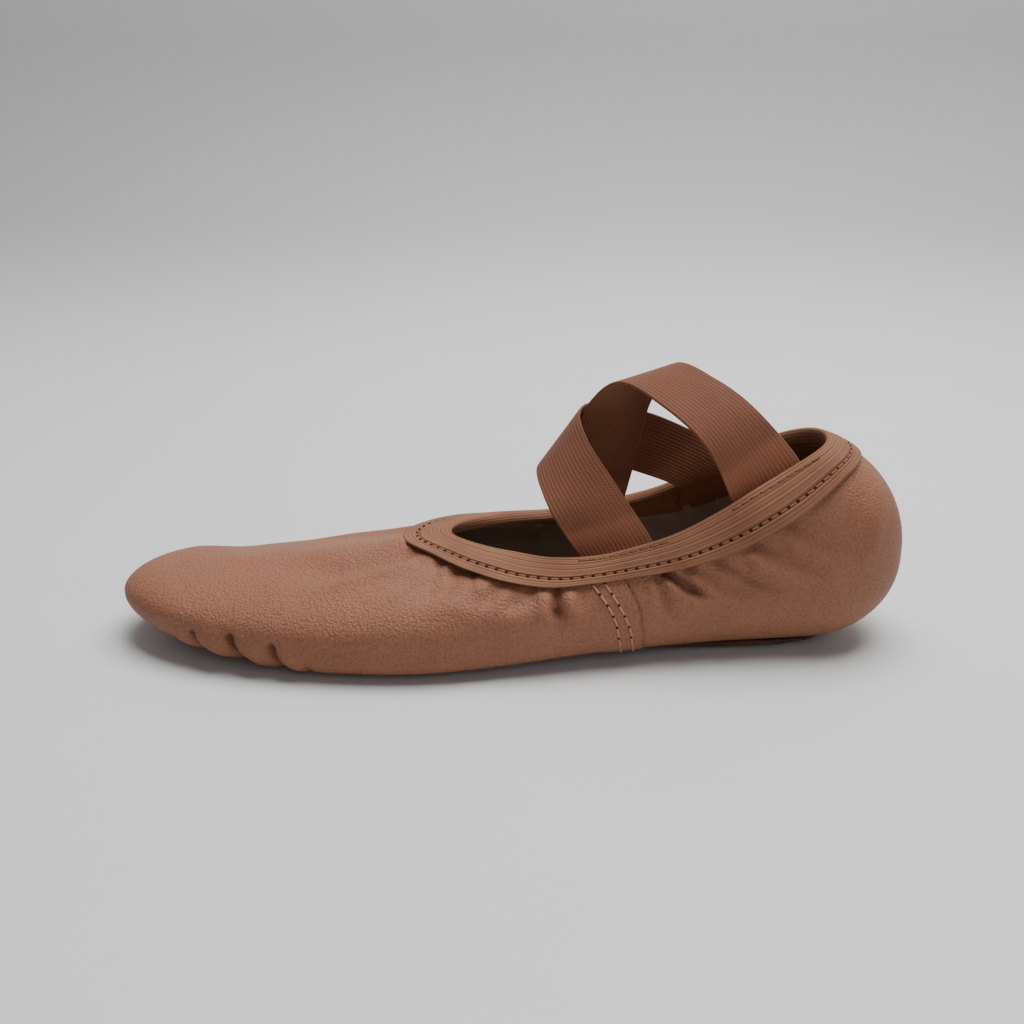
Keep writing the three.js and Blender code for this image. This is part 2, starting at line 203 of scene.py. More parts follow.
@dataclass(frozen=True)
class Last:
    """The smooth form inside the shoe, the same as the frame's."""

    length: float = 230.0
    ball_width: float = 81.0
    heel_height: float = 60.0
    toe_tip_height: float = 14.0
    heel_bulge_height: float = 26.0
    toe_round: EndRound = EndRound(34.0, 19.0, 20.0)
    heel_round: EndRound = EndRound(27.0, 40.0, 30.0)
    halvings: int = 28

    def share(self, x: Array) -> Array:
        """Place along the shoe, from 0 at the toe to 1 at the heel."""
        return x / self.length + 0.5

    def section(self, x: Array, grow: Array) -> Section:
        """Cross-section at stations x, grown outward by a distance."""
        x = np.asarray(x, float)
        along = self.share(x)
        from_toe = x + self.length / 2 + grow
        from_heel = self.length / 2 + grow - x
        rounds = [
            rounding(from_toe, toe + grow) * rounding(from_heel, heel + grow)
            for toe, heel in zip(self.toe_round, self.heel_round)
        ]
        tip = np.where(along < 0.5, self.toe_tip_height, self.heel_bulge_height)
        crown = column(STATIONS, "crown", along) * self.heel_height + grow
        under = column(STATIONS, "under", along) - grow
        half = column(STATIONS, "width", along) * self.ball_width / 2 + grow
        return Section(
            half * rounds[0],
            column(STATIONS, "widest", along) * self.heel_height,
            tip + (crown - tip) * rounds[1],
            tip + (under - tip) * rounds[2],
            column(STATIONS, "upper_square", along),
            column(STATIONS, "lower_square", along),
        )

    def half_width(self, x: Array, z: Array, grow: float = 0.0) -> Array:
        """Half width at a station and height."""
        s = self.section(x, grow)
        square, reach = s.part_at(z)
        rise = np.minimum(np.abs(z - s.widest) / reach, 1.0)
        return s.half * bulge(rise, square)

    def underside(self, x: Array, y: Array, grow: float) -> Array:
        """Height of the underside at a point in plan."""
        s = self.section(x, grow)
        return s.widest - (s.widest - s.under) * bulge(s.side(y), s.lower_square)

    def topside(self, x: Array, y: Array) -> Array:
        """Height of the upper face at a point in plan."""
        s = self.section(x, 0.0)
        return s.widest + (s.crown - s.widest) * bulge(s.side(y), s.upper_square)

    def plan(self, x: Array, start: float, end: float) -> tuple[Array, Array]:
        """Half width, and how far a flat piece from start to end is rounded off there."""
        width = column(STATIONS, "width", self.share(x)) * self.ball_width / 2
        return width, rounding(x - start, self.toe_round.plan) * rounding(end - x, self.heel_round.plan)

    def on_axis(self, x: Array) -> Array:
        """Points on the middle plane, at the height of the widest line."""
        return np.stack([x, np.zeros_like(x), self.section(x, 0.0).widest], axis=-1)

    def collar_height(self, x: Array, level: float) -> Array:
        """Height at a level from 0 at the binding's lower edge to 1 at its top edge."""
        along = self.share(x)
        low = column(COLLAR_STATIONS, "low", along)
        return low + (column(COLLAR_STATIONS, "top", along) - low) * level

    def is_inside(self, points: Array, grow: Array) -> Array:
        """Whether points lie inside the grown last."""
        x, y, z = points[..., 0], points[..., 1], points[..., 2]
        limit = self.length / 2 + grow
        s = self.section(np.clip(x, -limit + SMALL, limit - SMALL), grow)
        square, reach = s.part_at(z)
        filled = (np.abs(y) / s.half) ** square + (np.abs(z - s.widest) / reach) ** square
        return (np.abs(x) < limit) & (filled < 1.0)

    def cast_out(self, start: Array, toward: Array, grow: Array = 0.0) -> Array:
        """Where rays from inside leave the grown last.

        Args:
            start: points inside the last.
            toward: points that the rays pass through.
            grow: distance outward from the last, one or one for each ray.

        Returns:
            The points on the grown surface.
        """
        start, toward = np.broadcast_arrays(start, toward)
        way = toward - start
        way = way / np.linalg.norm(way, axis=-1, keepdims=True)
        near = np.zeros(way.shape[:-1])
        far = np.full(way.shape[:-1], self.length)
        for _ in range(self.halvings):
            middle = (near + far) / 2
            inside = self.is_inside(start + way * middle[..., None], grow)
            near = np.where(inside, middle, near)
            far = np.where(inside, far, middle)
        return start + way * near[..., None]

    def on_collar(self, x: Array, side: float, level: float, out: float) -> Array:
        """Points along the binding on one side.

        Args:
            x: where they lie along the shoe.
            side: -1 for the near side, 1 for the far one.
            level: 0 at the binding's lower edge to 1 at its top edge.
            out: distance outward from the last.

        Returns:
            The points.
        """
        z = self.collar_height(x, level)
        toward = np.stack([x, side * self.half_width(x, z), z], axis=-1)
        return self.cast_out(self.on_axis(x), toward, out)


def spread(points: Array, count: int, crowding: float) -> Array:
    """Points at even spacing along a curve, crowded toward its start by a power."""
    reach = np.concatenate([[0.0], np.cumsum(np.linalg.norm(np.diff(points, axis=0), axis=1))])
    want = reach[-1] * (np.arange(count + 1) / count) ** crowding
    return np.stack([np.interp(want, reach, points[:, axis]) for axis in range(3)], axis=1)


def blend(a: Array, b: Array, share: Array) -> Array:
    """Point between two points."""
    return a + (b - a) * share


def mirrored(grid: Array) -> Array:
    """A near side's ribs followed by the far side's, as one closed ring."""
    far = grid[1:-1][::-1] * MIRROR
    return np.concatenate([grid, far])


@dataclass
class Ribs:
    """Lines over the shoe's near side from the sole to the collar, at even steps from toe to heel."""

    last: Last
    count: int = 320
    opening_share: float = 0.5
    opening_toe: float = 26.0
    opening_heel: float = 28.0
    inset_toe: float = 12.0
    inset_heel: float = 8.0
    crowding: float = 1.4
    samples: int = 400
    edge_halvings: int = 40
    seat: Array = field(init=False)
    girth: Array = field(init=False)
    low: Array = field(init=False)
    top: Array = field(init=False)
    middle: Array = field(init=False)
    collar_middle: Array = field(init=False)

    def __post_init__(self) -> None:
        """Lays out the ribs' points."""
        last = self.last
        half = last.length / 2
        x = self._eased(-half, half)
        s = last.section(x, 0.0)
        self.girth = spread(np.stack([x, -s.half, s.widest], axis=1), self.count, 1.0)
        self.low = spread(self._collar_edge("low"), self.count, self.crowding)
        self.top = spread(self._collar_edge("top"), self.count, self.crowding)
        start = -half + self.opening_toe
        end = half - self.opening_heel
        x = start + (end - start) * last.share(self.girth[:, 0])
        width, ends = last.plan(x, start, end)
        y = -(self.opening_share * width * ends)
        self.seat = np.stack([x, y, last.underside(x, y, 0.0)], axis=1)
        between = (self.girth[:, 0] + self.low[:, 0]) / 2
        between = np.clip(between, start + self.inset_toe, end - self.inset_heel)
        self.middle = last.on_axis(between)
        self.collar_middle = last.on_axis(self.low[:, 0])

    def _eased(self, start: float, end: float) -> Array:
        """Samples from one end to the other, closer together at both ends."""
        t = (1.0 - np.cos(np.pi * np.arange(self.samples + 1) / self.samples)) / 2
        return start + (end - start) * t

    def _collar_edge(self, edge: str) -> Array:
        """One edge of the binding on the near side, from the throat to the back of the heel."""
        last = self.last

        def height(x: float) -> float:
            """Height of the edge at a station."""
            return float(column(COLLAR_STATIONS, edge, last.share(x)))

        def crossing(outside: float, inside: float) -> float:
            """Where the edge meets the crown of the last."""
            for _ in range(self.edge_halvings):
                middle = (outside + inside) / 2
                if height(middle) < float(last.section(middle, 0.0).crown):
                    inside = middle
                else:
                    outside = middle
            return inside

        first = (COLLAR_STATIONS[0].along - 0.5) * last.length
        final = (COLLAR_STATIONS[-1].along - 0.5) * last.length
        centre = (first + final) / 2
        x = self._eased(crossing(first, centre), crossing(final, centre))
        z = column(COLLAR_STATIONS, edge, last.share(x))
        return np.stack([x, -last.half_width(x, z), z], axis=1)

    def under(self, share: Array) -> Array:
        """Points of the turned-under leather, from the opening (0) to the widest line (1)."""
        toward = blend(self.seat[:, None], self.girth[:, None], share[None, :, None])
        return self.last.cast_out(self.middle[:, None], toward)

    def wall(self, share: Array) -> Array:
        """Points of the wall, from the widest line (0) to the binding's lower edge (1)."""
        toward = blend(self.girth[:, None], self.low[:, None], share[None, :, None])
        start = blend(self.middle[:, None], self.collar_middle[:, None], share[None, :, None])
        return self.last.cast_out(start, toward)

    def collar(self, level: Array, out: Array) -> Array:
        """Points of the collar at levels between the binding's two edges, at distances out."""
        toward = blend(self.low[:, None], self.top[:, None], level[..., None])
        return self.last.cast_out(self.collar_middle[:, None], toward, out)


# Creases placed on the leather

FLOOR_CLEARANCE = 0.05
PUCKER_SHIFT = 2.2
PUCKER_WIDTH = 1.5


class Face(Enum):
    """Which part of the leather a crease lies on, and so how its points are read."""

    NEAR = "x along and z up on the near side"
    FAR = "x along and z up on the far side"
    TOP = "x along and y across on the upper face"


@dataclass(frozen=True)
class Crease:
    """A soft trough (negative depth) or ridge (positive depth) along a line."""

    face: Face
    line: Line
    width: float
    depth: float
    held: bool = True
    fade: float = 0.5

    def points(self, last: Last) -> Array:
        """The line's points on the last."""
        a, b = np.array(self.line).T
        if self.face is Face.TOP:
            return np.stack([a, b, last.topside(a, b)], axis=1)
        side = -1.0 if self.face is Face.NEAR else 1.0
        floor = last.section(a, 0.0).under
        b = np.maximum(b, floor + FLOOR_CLEARANCE)
        return np.stack([a, side * last.half_width(a, b), b], axis=1)


def creases(face: Face, *rows: tuple[Any, ...]) -> tuple[Crease, ...]:
    """Creases of one face, each from its line, its width, its depth and how it fades."""
    return tuple(Crease(face, *row) for row in rows)


def along_line(points: Array, line: Array) -> tuple[Array, Array]:
    """Distance of points from a line of points, and the share of its length they lie at.

    Args:
        points: an array of points.
        line: the points of the line in order.

    Returns:
        The distance of each point, and its place from 0 to 1 along the line.
    """
    steps = np.linalg.norm(np.diff(line, axis=0), axis=1)
    starts = np.concatenate([[0.0], np.cumsum(steps)])
    best = np.full(points.shape[:-1], np.inf)
    place = np.zeros(points.shape[:-1])
    for i, step in enumerate(steps):
        way = (line[i + 1] - line[i]) / step
        t = np.clip((points - line[i]) @ way, 0.0, step)
        distance = np.linalg.norm(points - line[i] - t[..., None] * way, axis=-1)
        nearer = distance < best
        best = np.where(nearer, distance, best)
        place = np.where(nearer, (starts[i] + t) / starts[-1], place)
    return best, place


NEAR_CREASES = creases(
    Face.NEAR,
    (((12.7, 25.5), (12.5, 19.0), (13.4, 8.0)), 1.5, -1.9),
    (((16.2, 25.0), (16.2, 19.0), (16.8, 11.0)), 2.4, 1.4),
    (((9.2, 25.0), (8.8, 19.5), (9.4, 11.0)), 2.6, 1.3),
    (((13.0, 18.8), (15.2, 16.4), (18.4, 13.6)), 1.2, -0.8),
    (((6.0, 25.0), (3.0, 21.5), (-4.0, 19.4)), 2.4, -0.9),
    (((-1.5, 25.8), (-6.0, 22.4), (-16.0, 20.6)), 2.8, -0.9),
    (((-12.0, 26.8), (-18.0, 23.6), (-31.0, 21.0)), 3.2, -0.9),
    (((-6.0, 25.2), (-12.0, 21.4), (-24.0, 18.6)), 3.2, 0.8),
    (((39.5, 27.0), (42.0, 21.5), (46.0, 14.0)), 1.6, -1.3),
    (((37.6, 26.0), (39.6, 19.5), (42.0, 12.0)), 2.4, 0.9),
    (((42.6, 27.6), (48.6, 22.8), (57.5, 18.8)), 1.7, -2.5),
    (((43.8, 24.2), (49.6, 19.6), (57.5, 15.6)), 2.8, 1.7),
    (((50.0, 29.0), (57.0, 23.6), (70.0, 17.6)), 2.4, -2.1),
    (((51.4, 26.6), (59.5, 20.4), (72.0, 13.6)), 3.4, 1.5),
    (((58.0, 31.0), (66.0, 26.0), (80.0, 21.0)), 2.7, -2.0),
    (((68.0, 35.5), (77.0, 30.0), (90.0, 25.0)), 3.2, -1.9),
    (((63.0, 32.4), (71.0, 27.0), (84.0, 22.0)), 3.0, 1.6),
    (((77.0, 41.0), (85.0, 35.0), (95.0, 30.0)), 3.2, -1.5),
    (((60.0, 13.5), (72.0, 10.0), (86.0, 9.5)), 4.0, -0.6, False),
    (((102.0, 52.0), (100.4, 40.0), (98.5, 24.0)), 3.6, 0.9, False),
    (((94.5, 47.0), (93.0, 38.0), (91.0, 26.0)), 4.6, -0.7, False),
    (((-20.0, 16.0), (-4.0, 13.0), (10.0, 9.0)), 5.0, -1.0, False),
)

FAR_CREASES = creases(
    Face.FAR,
    (((9.0, 25.6), (8.6, 19.0), (10.0, 9.0)), 1.6, -1.7),
    (((12.2, 25.0), (12.2, 19.5), (13.0, 11.0)), 2.4, 0.9),
    (((2.0, 25.6), (-2.6, 21.6), (-11.0, 19.6)), 2.6, -0.9),
    (((-9.0, 26.4), (-15.0, 23.2), (-27.0, 20.8)), 3.0, -0.9),
    (((18.0, 25.4), (20.0, 18.0), (21.0, 11.0)), 2.0, -0.9),
    (((41.0, 27.2), (44.8, 20.6), (50.0, 13.0)), 1.7, -1.4),
    (((46.0, 28.4), (53.4, 22.8), (64.0, 18.0)), 2.0, -1.5),
    (((47.0, 26.0), (54.4, 20.2), (64.0, 15.6)), 3.0, 1.0),
    (((55.0, 30.4), (64.0, 25.0), (78.0, 20.0)), 3.0, -1.0),
    (((66.0, 34.6), (76.0, 29.6), (88.0, 24.0)), 4.0, -0.7),
    (((102.0, 50.0), (100.5, 39.0), (99.0, 24.0)), 3.8, 0.8, False),
    (((-22.0, 15.0), (-6.0, 12.0), (8.0, 9.0)), 5.0, -0.6, False),
)

TOP_CREASES = creases(
    Face.TOP,
    (((-31.0, -12.5), (-46.0, -17.0), (-66.0, -19.0)), 5.0, -2.0),
    (((-32.0, -4.0), (-48.0, -7.5), (-68.0, -7.0)), 6.0, 1.3),
    (((-29.0, -17.5), (-41.0, -22.5), (-54.0, -26.5)), 3.6, 1.3),
    (((-26.0, -17.5), (-33.0, -22.5), (-42.0, -28.0)), 2.4, -0.9),
    (((-20.5, -19.5), (-27.0, -24.5), (-36.0, -30.0)), 2.2, -0.8),
    (((-15.0, -22.0), (-21.0, -26.0), (-29.0, -31.5)), 2.2, -0.8),
    (((-32.0, 10.0), (-52.0, 13.0), (-72.0, 11.0)), 6.5, -1.0),
    (((-31.0, 16.0), (-50.0, 22.0), (-68.0, 23.0)), 4.6, 0.7),
    (((-26.0, 17.0), (-33.0, 22.0), (-42.0, 27.5)), 2.5, -0.9),
    (((-17.5, 20.5), (-24.0, 25.0), (-33.0, 30.5)), 2.4, -0.8),
    (((-18.0, 27.0), (-50.0, 29.0), (-80.0, 26.0), (-100.0, 15.0)), 13.0, -2.4, False, 0.25),
    (((-34.0, -2.0), (-60.0, -3.0), (-94.0, -1.0)), 6.0, 0.7, False, 0.3),
)


class Pucker(NamedTuple):
    """A short gather of the leather just below the binding, on either side."""

    x: float
    lean: float
    length: float
    depth: float


PUCKERS = (
    Pucker(-19.0, -5.0, 6.0, 0.55),
    Pucker(-14.5, -4.5, 5.0, 0.5),
    Pucker(-9.5, -4.0, 7.0, 0.6),
    Pucker(-4.5, -3.0, 6.0, 0.55),
    Pucker(1.5, -2.0, 8.0, 0.6),
    Pucker(7.0, -1.0, 7.0, 0.6),
    Pucker(18.5, 1.5, 8.0, 0.6),
    Pucker(36.0, 2.0, 7.0, 0.6),
    Pucker(47.5, 4.0, 7.0, 0.6),
    Pucker(54.0, 5.0, 8.0, 0.6),
    Pucker(62.5, 6.0, 7.0, 0.5),
    Pucker(72.0, 6.0, 7.0, 0.45),
)


def pucker_creases(side: Face) -> tuple[Crease, ...]:
    """The short gathers below the binding on one side, a little shifted on the far one."""
    shift = 0.0 if side is Face.NEAR else PUCKER_SHIFT
    made = []
    for pucker in PUCKERS:
        x = pucker.x + shift
        low = float(Last().collar_height(x, 0.0))
        middle = (x + pucker.lean * 0.4, low - pucker.length * 0.5)
        end = (x + pucker.lean, low - pucker.length)
        made.append(Crease(side, ((x, low + 1.0), middle, end), PUCKER_WIDTH, -pucker.depth))
    return tuple(made)


class Tuck(NamedTuple):
    """A gather of the leather under the toe, on either side: where it starts and ends."""

    top_x: float
    top_z: float
    foot_x: float
    foot_share: float
    width: float
    depth: float


TUCKS = (
    Tuck(-109.0, 8.0, -92.0, 0.35, 1.2, 0.9),
    Tuck(-101.0, 8.5, -86.0, 0.5, 1.2, 1.0),
    Tuck(-94.5, 9.0, -81.0, 0.58, 1.2, 1.2),
    Tuck(-88.0, 13.0, -76.0, 0.62, 1.6, 2.3),
    Tuck(-76.4, 13.6, -64.0, 0.64, 1.7, 2.8),
    Tuck(-64.6, 12.2, -52.5, 0.66, 1.7, 2.4),
    Tuck(-54.0, 7.5, -49.0, 0.68, 1.6, 0.8),
)


# Meshes

class Skin:
    """Collects points and faces, with a place on the cloth for each corner of a face."""

    def __init__(self) -> None:
        """Starts an empty skin."""
        self.points: list[Array] = []
        self.faces: list[Array] = []
        self.corners: list[Array] = []
        self.marks: list[Array] = []
        self.size = 0

    def add_points(self, points: Array, marks: Array | None = None) -> Array:
        """Adds points and returns their numbers in the same layout."""
        shape = points.shape[:-1]
        count = int(np.prod(shape))
        numbers = np.arange(self.size, self.size + count).reshape(shape)
        self.points.append(points.reshape(-1, 3))
        self.marks.append(np.zeros(count) if marks is None else np.asarray(marks).reshape(-1))
        self.size += count
        return numbers

    def add_grid(self, numbers: Array, wrap: bool, flip: bool, u: Array, v: Array) -> None:
        """Adds the faces of a grid of numbered points.

        Args:
            numbers: point numbers, by column and row.
            wrap: whether the last column joins the first.
            flip: whether the faces are turned round.
            u: place of each column along the cloth, with one more where the grid wraps.
            v: place of each row across the cloth.
        """
        columns, rows = numbers.shape
        spans = columns if wrap else columns - 1
        i, j = np.meshgrid(np.arange(spans), np.arange(rows - 1), indexing="ij")
        i, j = i.ravel(), j.ravel()
        k = (i + 1) % columns
        faces = np.stack([numbers[i, j], numbers[k, j], numbers[k, j + 1], numbers[i, j + 1]], axis=1)
        cu = np.stack([u[i], u[i + 1], u[i + 1], u[i]], axis=1)
        cv = np.stack([v[j], v[j], v[j + 1], v[j + 1]], axis=1)
        corners = np.stack([cu, cv], axis=2)
        if flip:
            faces = faces[:, ::-1]
            corners = corners[:, ::-1]
        self.faces.append(faces)
        self.corners.append(corners)

    def mesh(self, name: str) -> bpy.types.Mesh:
        """Makes the mesh, in metres, with its cloth map and its mark on each point."""
        mesh = bpy.data.meshes.new(name)
        points = np.concatenate(self.points) * MM
        faces = np.concatenate(self.faces)
        mesh.from_pydata(points.tolist(), [], faces.tolist())
        cloth = mesh.uv_layers.new(name="cloth")
        cloth.data.foreach_set("uv", np.concatenate(self.corners).astype(np.float32).ravel())
        mark = mesh.attributes.new("mark", "FLOAT", "POINT")
        mark.data.foreach_set("value", np.concatenate(self.marks).astype(np.float32))
        mesh.polygons.foreach_set("use_smooth", np.ones(len(faces), bool))
        mesh.update()
        return mesh


def shell(name: str, outer: Array, inner: Array, wrap: bool, marks: Array | None = None) -> bpy.types.Mesh:
    """A closed sheet between two faces.

    Args:
        name: the mesh's name.
        outer: points of the outer face, by column and row.
        inner: points of the inner face, laid out the same.
        wrap: whether the last column joins the first.
        marks: a number for each outer point, for the finish to read; it sets painted shade in the folds of
            the leather and painted light at the ends of the elastics.

    Returns:
        The mesh.
    """
    skin = Skin()
    outside = skin.add_points(outer, marks)
    inside = skin.add_points(inner, marks)
    u = lengths(outer.mean(axis=1), wrap)
    v = lengths(outer[outer.shape[0] // 2], False)
    skin.add_grid(outside, wrap, False, u, v)
    skin.add_grid(inside, wrap, True, u, v)
    edge = np.array([0.0, 1.0])
    skin.add_grid(np.stack([inside[:, 0], outside[:, 0]], axis=1), wrap, False, u, edge)
    skin.add_grid(np.stack([outside[:, -1], inside[:, -1]], axis=1), wrap, False, u, edge)
    if not wrap:
        skin.add_grid(np.stack([outside[0], inside[0]], axis=1), False, True, v, edge)
        skin.add_grid(np.stack([outside[-1], inside[-1]], axis=1), False, False, v, edge)
    return skin.mesh(name)


def lengths(line: Array, closed: bool) -> Array:
    """Running length in millimetres at each point of a line, and back at its start if closed."""
    whole = np.concatenate([line, line[:1]]) if closed else line
    return np.concatenate([[0.0], np.cumsum(np.linalg.norm(np.diff(whole, axis=0), axis=1))])


def normals(grid: Array, wrap: bool) -> Array:
    """Unit normals of a grid of points, outward for columns round the shoe and rows upward."""
    if wrap:
        along = np.roll(grid, -1, axis=0) - np.roll(grid, 1, axis=0)
    else:
        along = np.gradient(grid, axis=0)
    up = np.gradient(grid, axis=1)
    normal = np.cross(along, up)
    size = np.linalg.norm(normal, axis=-1, keepdims=True)
    return normal / np.maximum(size, 1e-9)


def put_piece(mesh: bpy.types.Mesh, material: bpy.types.Material | None,
              stands_for: Sequence[str] = ()) -> bpy.types.Object:
    """Links a finished piece, dresses it and lets it ride on the shoe.

    Args:
        mesh: the piece's mesh.
        material: its finish, or None where the mesh has one.
        stands_for: the frame's nodes that it is shown instead of.

    Returns:
        The piece's object.
    """
    piece = bpy.data.objects.new(mesh.name, mesh)
    bpy.context.scene.collection.objects.link(piece)
    if material is not None:
        mesh.materials.clear()
        mesh.materials.append(material)
    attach(piece, ROOT)
    if stands_for:
        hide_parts(*stands_for)
    LOG.info("%s: %d faces", piece.name, len(mesh.polygons))
    return piece


# Finishes

class Sock:
    """A node's output, with arithmetic on it that adds Math nodes."""

    def __init__(self, shade: "Shade", socket: bpy.types.NodeSocket) -> None:
        """Wraps an output of a shade's node."""
        self.shade = shade
        self.socket = socket

    def _math(self, operation: str, a: Any, b: Any) -> "Sock":
        """Adds a Math node."""
        return self.shade.node("ShaderNodeMath", {"operation": operation}, {0: a, 1: b})

    def __add__(self, other: Any) -> "Sock":
        """Sum."""
        return self._math("ADD", self, other)

    def __radd__(self, other: Any) -> "Sock":
        """Sum, the other first."""
        return self._math("ADD", other, self)

    def __sub__(self, other: Any) -> "Sock":
        """Difference."""
        return self._math("SUBTRACT", self, other)

    def __rsub__(self, other: Any) -> "Sock":
        """Difference, the other first."""
        return self._math("SUBTRACT", other, self)

    def __mul__(self, other: Any) -> "Sock":
        """Product."""
        return self._math("MULTIPLY", self, other)

    def __rmul__(self, other: Any) -> "Sock":
        """Product, the other first."""
        return self._math("MULTIPLY", other, self)

    def sine(self) -> "Sock":
        """Sine of an angle in radians."""
        return self._math("SINE", self, 0.0)

    def size(self) -> "Sock":
        """The value without its sign."""
        return self._math("ABSOLUTE", self, 0.0)

    def between(self, low: float, high: float) -> "Sock":
        """Eased share from 0 at low to 1 at high."""
        return self.shade.node(
            "ShaderNodeMapRange", {"interpolation_type": "SMOOTHSTEP"},
            {"Value": self, "From Min": low, "From Max": high},
        )


class Shade:
    """A material under construction."""

    def __init__(self, name: str) -> None:
        """Starts a material with one shader."""
        self.material = bpy.data.materials.new(name)
        self.material.use_nodes = True
        self.tree = self.material.node_tree
        self.shader = self.tree.nodes["Principled BSDF"]

    def node(self, kind: str, settings: dict[str, Any], inputs: dict[Any, Any], output: Any = 0) -> Sock:
        """Adds a node.

        Args:
            kind: the node's type.
            settings: properties that are set first.
            inputs: values or links by socket name or number.
            output: name or number of the output wanted.

        Returns:
            That output.
        """
        node = self.tree.nodes.new(kind)
        for name, value in settings.items():
            setattr(node, name, value)
        for key, value in inputs.items():
            if isinstance(value, Sock):
                self.tree.links.new(value.socket, node.inputs[key])
            else:
                node.inputs[key].default_value = value
        return Sock(self, node.outputs[output])

    def place(self) -> Sock:
        """The point on the piece, in millimetres."""
        point = self.node("ShaderNodeTexCoord", {}, {}, "Object")
        return self.node("ShaderNodeMapping", {}, {"Vector": point, "Scale": (1 / MM,) * 3})

    def cloth(self) -> tuple[Sock, Sock]:
        """The place along and across the piece's own cloth, in millimetres."""
        cloth = self.node("ShaderNodeUVMap", {"uv_map": "cloth"}, {})
        along = self.node("ShaderNodeSeparateXYZ", {}, {0: cloth}, "X")
        across = self.node("ShaderNodeSeparateXYZ", {}, {0: cloth}, "Y")
        return along, across

    def mark(self) -> Sock:
        """The number kept on each point of the piece, which sets painted shade on the leather and painted
        light on the elastics.
        """
        return self.node("ShaderNodeAttribute", {"attribute_name": "mark"}, {}, "Fac")

    def noise(self, place: Sock, scale: float, detail: float = 3.0, rough: float = 0.5) -> Sock:
        """Cloudy value from 0 to 1 with a size of about 1 / scale millimetres."""
        return self.node(
            "ShaderNodeTexNoise", {},
            {"Vector": place, "Scale": scale, "Detail": detail, "Roughness": rough},
        )

    def cells(self, place: Sock, scale: float) -> Sock:
        """Distance within rounded cells of about 1 / scale millimetres."""
        return self.node("ShaderNodeTexVoronoi", {}, {"Vector": place, "Scale": scale}, "Distance")

    def mix(self, share: Any, a: Any, b: Any) -> Sock:
        """Colour between two colours."""
        a = a if isinstance(a, Sock) else (*a, 1.0)
        b = b if isinstance(b, Sock) else (*b, 1.0)
        return self.node(
            "ShaderNodeMix", {"data_type": "RGBA", "clamp_factor": True}, {0: share, 6: a, 7: b}, 2,
        )

    def bump(self, height: Sock, distance: float, strength: float = 1.0) -> None:
        """Raises the surface by a height, in millimetres times distance."""
        raised = self.node(
            "ShaderNodeBump", {}, {"Height": height, "Distance": distance * MM, "Strength": strength},
        )
        self.tree.links.new(raised.socket, self.shader.inputs["Normal"])

    def feed(self, **sockets: Any) -> bpy.types.Material:
        """Sets or links the shader's sockets and returns the material."""
        for name, value in sockets.items():
            socket = self.shader.inputs[name.replace("_", " ")]
            if isinstance(value, Sock):
                self.tree.links.new(value.socket, socket)
            else:
                socket.default_value = value
        return self.material


def tone(red: int, green: int, blue: int) -> Tone:
    """A screen colour as scene light."""
    def light(value: float) -> float:
        """One channel."""
        share = value / 255.0
        return share / 12.92 if share <= 0.04045 else ((share + 0.055) / 1.055) ** 2.4
    return light(red), light(green), light(blue)


@dataclass(frozen=True)
class LeatherFinish:
    """Soft pebbled leather with a low satin gloss, and painted shade in its creases and toe tucks."""

    pale: Tone = tone(158, 107, 82)
    deep: Tone = tone(146, 96, 72)
    # fold: the dark of the grain's hollows, and the colour of the painted shade in creases and tucks
    fold: Tone = tone(74, 37, 24)
    pebble: float = 1.4
    warp_scale: float = 0.9
    warp_reach: float = 0.4
    pore_scale: float = 2.6
    drift_scale: float = 0.035
    patch_scale: float = 0.16
    speckle: float = 0.2
    fold_shade: float = 0.55
    relief: float = 0.34
    rough: float = 0.5
    gloss: float = 0.27

    def material(self) -> bpy.types.Material:
        """Builds the finish."""
        shade = Shade("leather")
        place = shade.place()
        warp = shade.node(
            "ShaderNodeTexNoise", {}, {"Vector": place, "Scale": self.warp_scale, "Detail": 2.0}, "Color",
        )
        bent = shade.node(
            "ShaderNodeVectorMath", {"operation": "MULTIPLY_ADD"},
            {0: warp, 1: (self.warp_reach,) * 3, 2: place},
        )
        pebbles = shade.cells(bent, self.pebble)
        pores = shade.noise(place, self.pore_scale, 4.0, 0.6)
        drift = shade.noise(place, self.drift_scale, 3.0)
        patch = shade.noise(place, self.patch_scale, 2.0)
        colour = shade.mix((drift + patch * 0.3 - 0.15).between(0.1, 0.9), self.deep, self.pale)
        colour = shade.mix(pebbles.between(0.3, 0.8) * self.speckle, colour, self.fold)
        # Painted shade: leather lying deep in a crease or a toe tuck is mixed toward the fold tone
        colour = shade.mix(shade.mark().between(0.5, 2.4) * self.fold_shade, colour, self.fold)
        shade.bump((1.0 - pebbles) * 0.8 + pores * 0.5, self.relief)
        rough = self.rough + (patch - 0.5) * 0.08 + pebbles * 0.12
        return shade.feed(Base_Color=colour, Roughness=rough, Specular_IOR_Level=self.gloss)


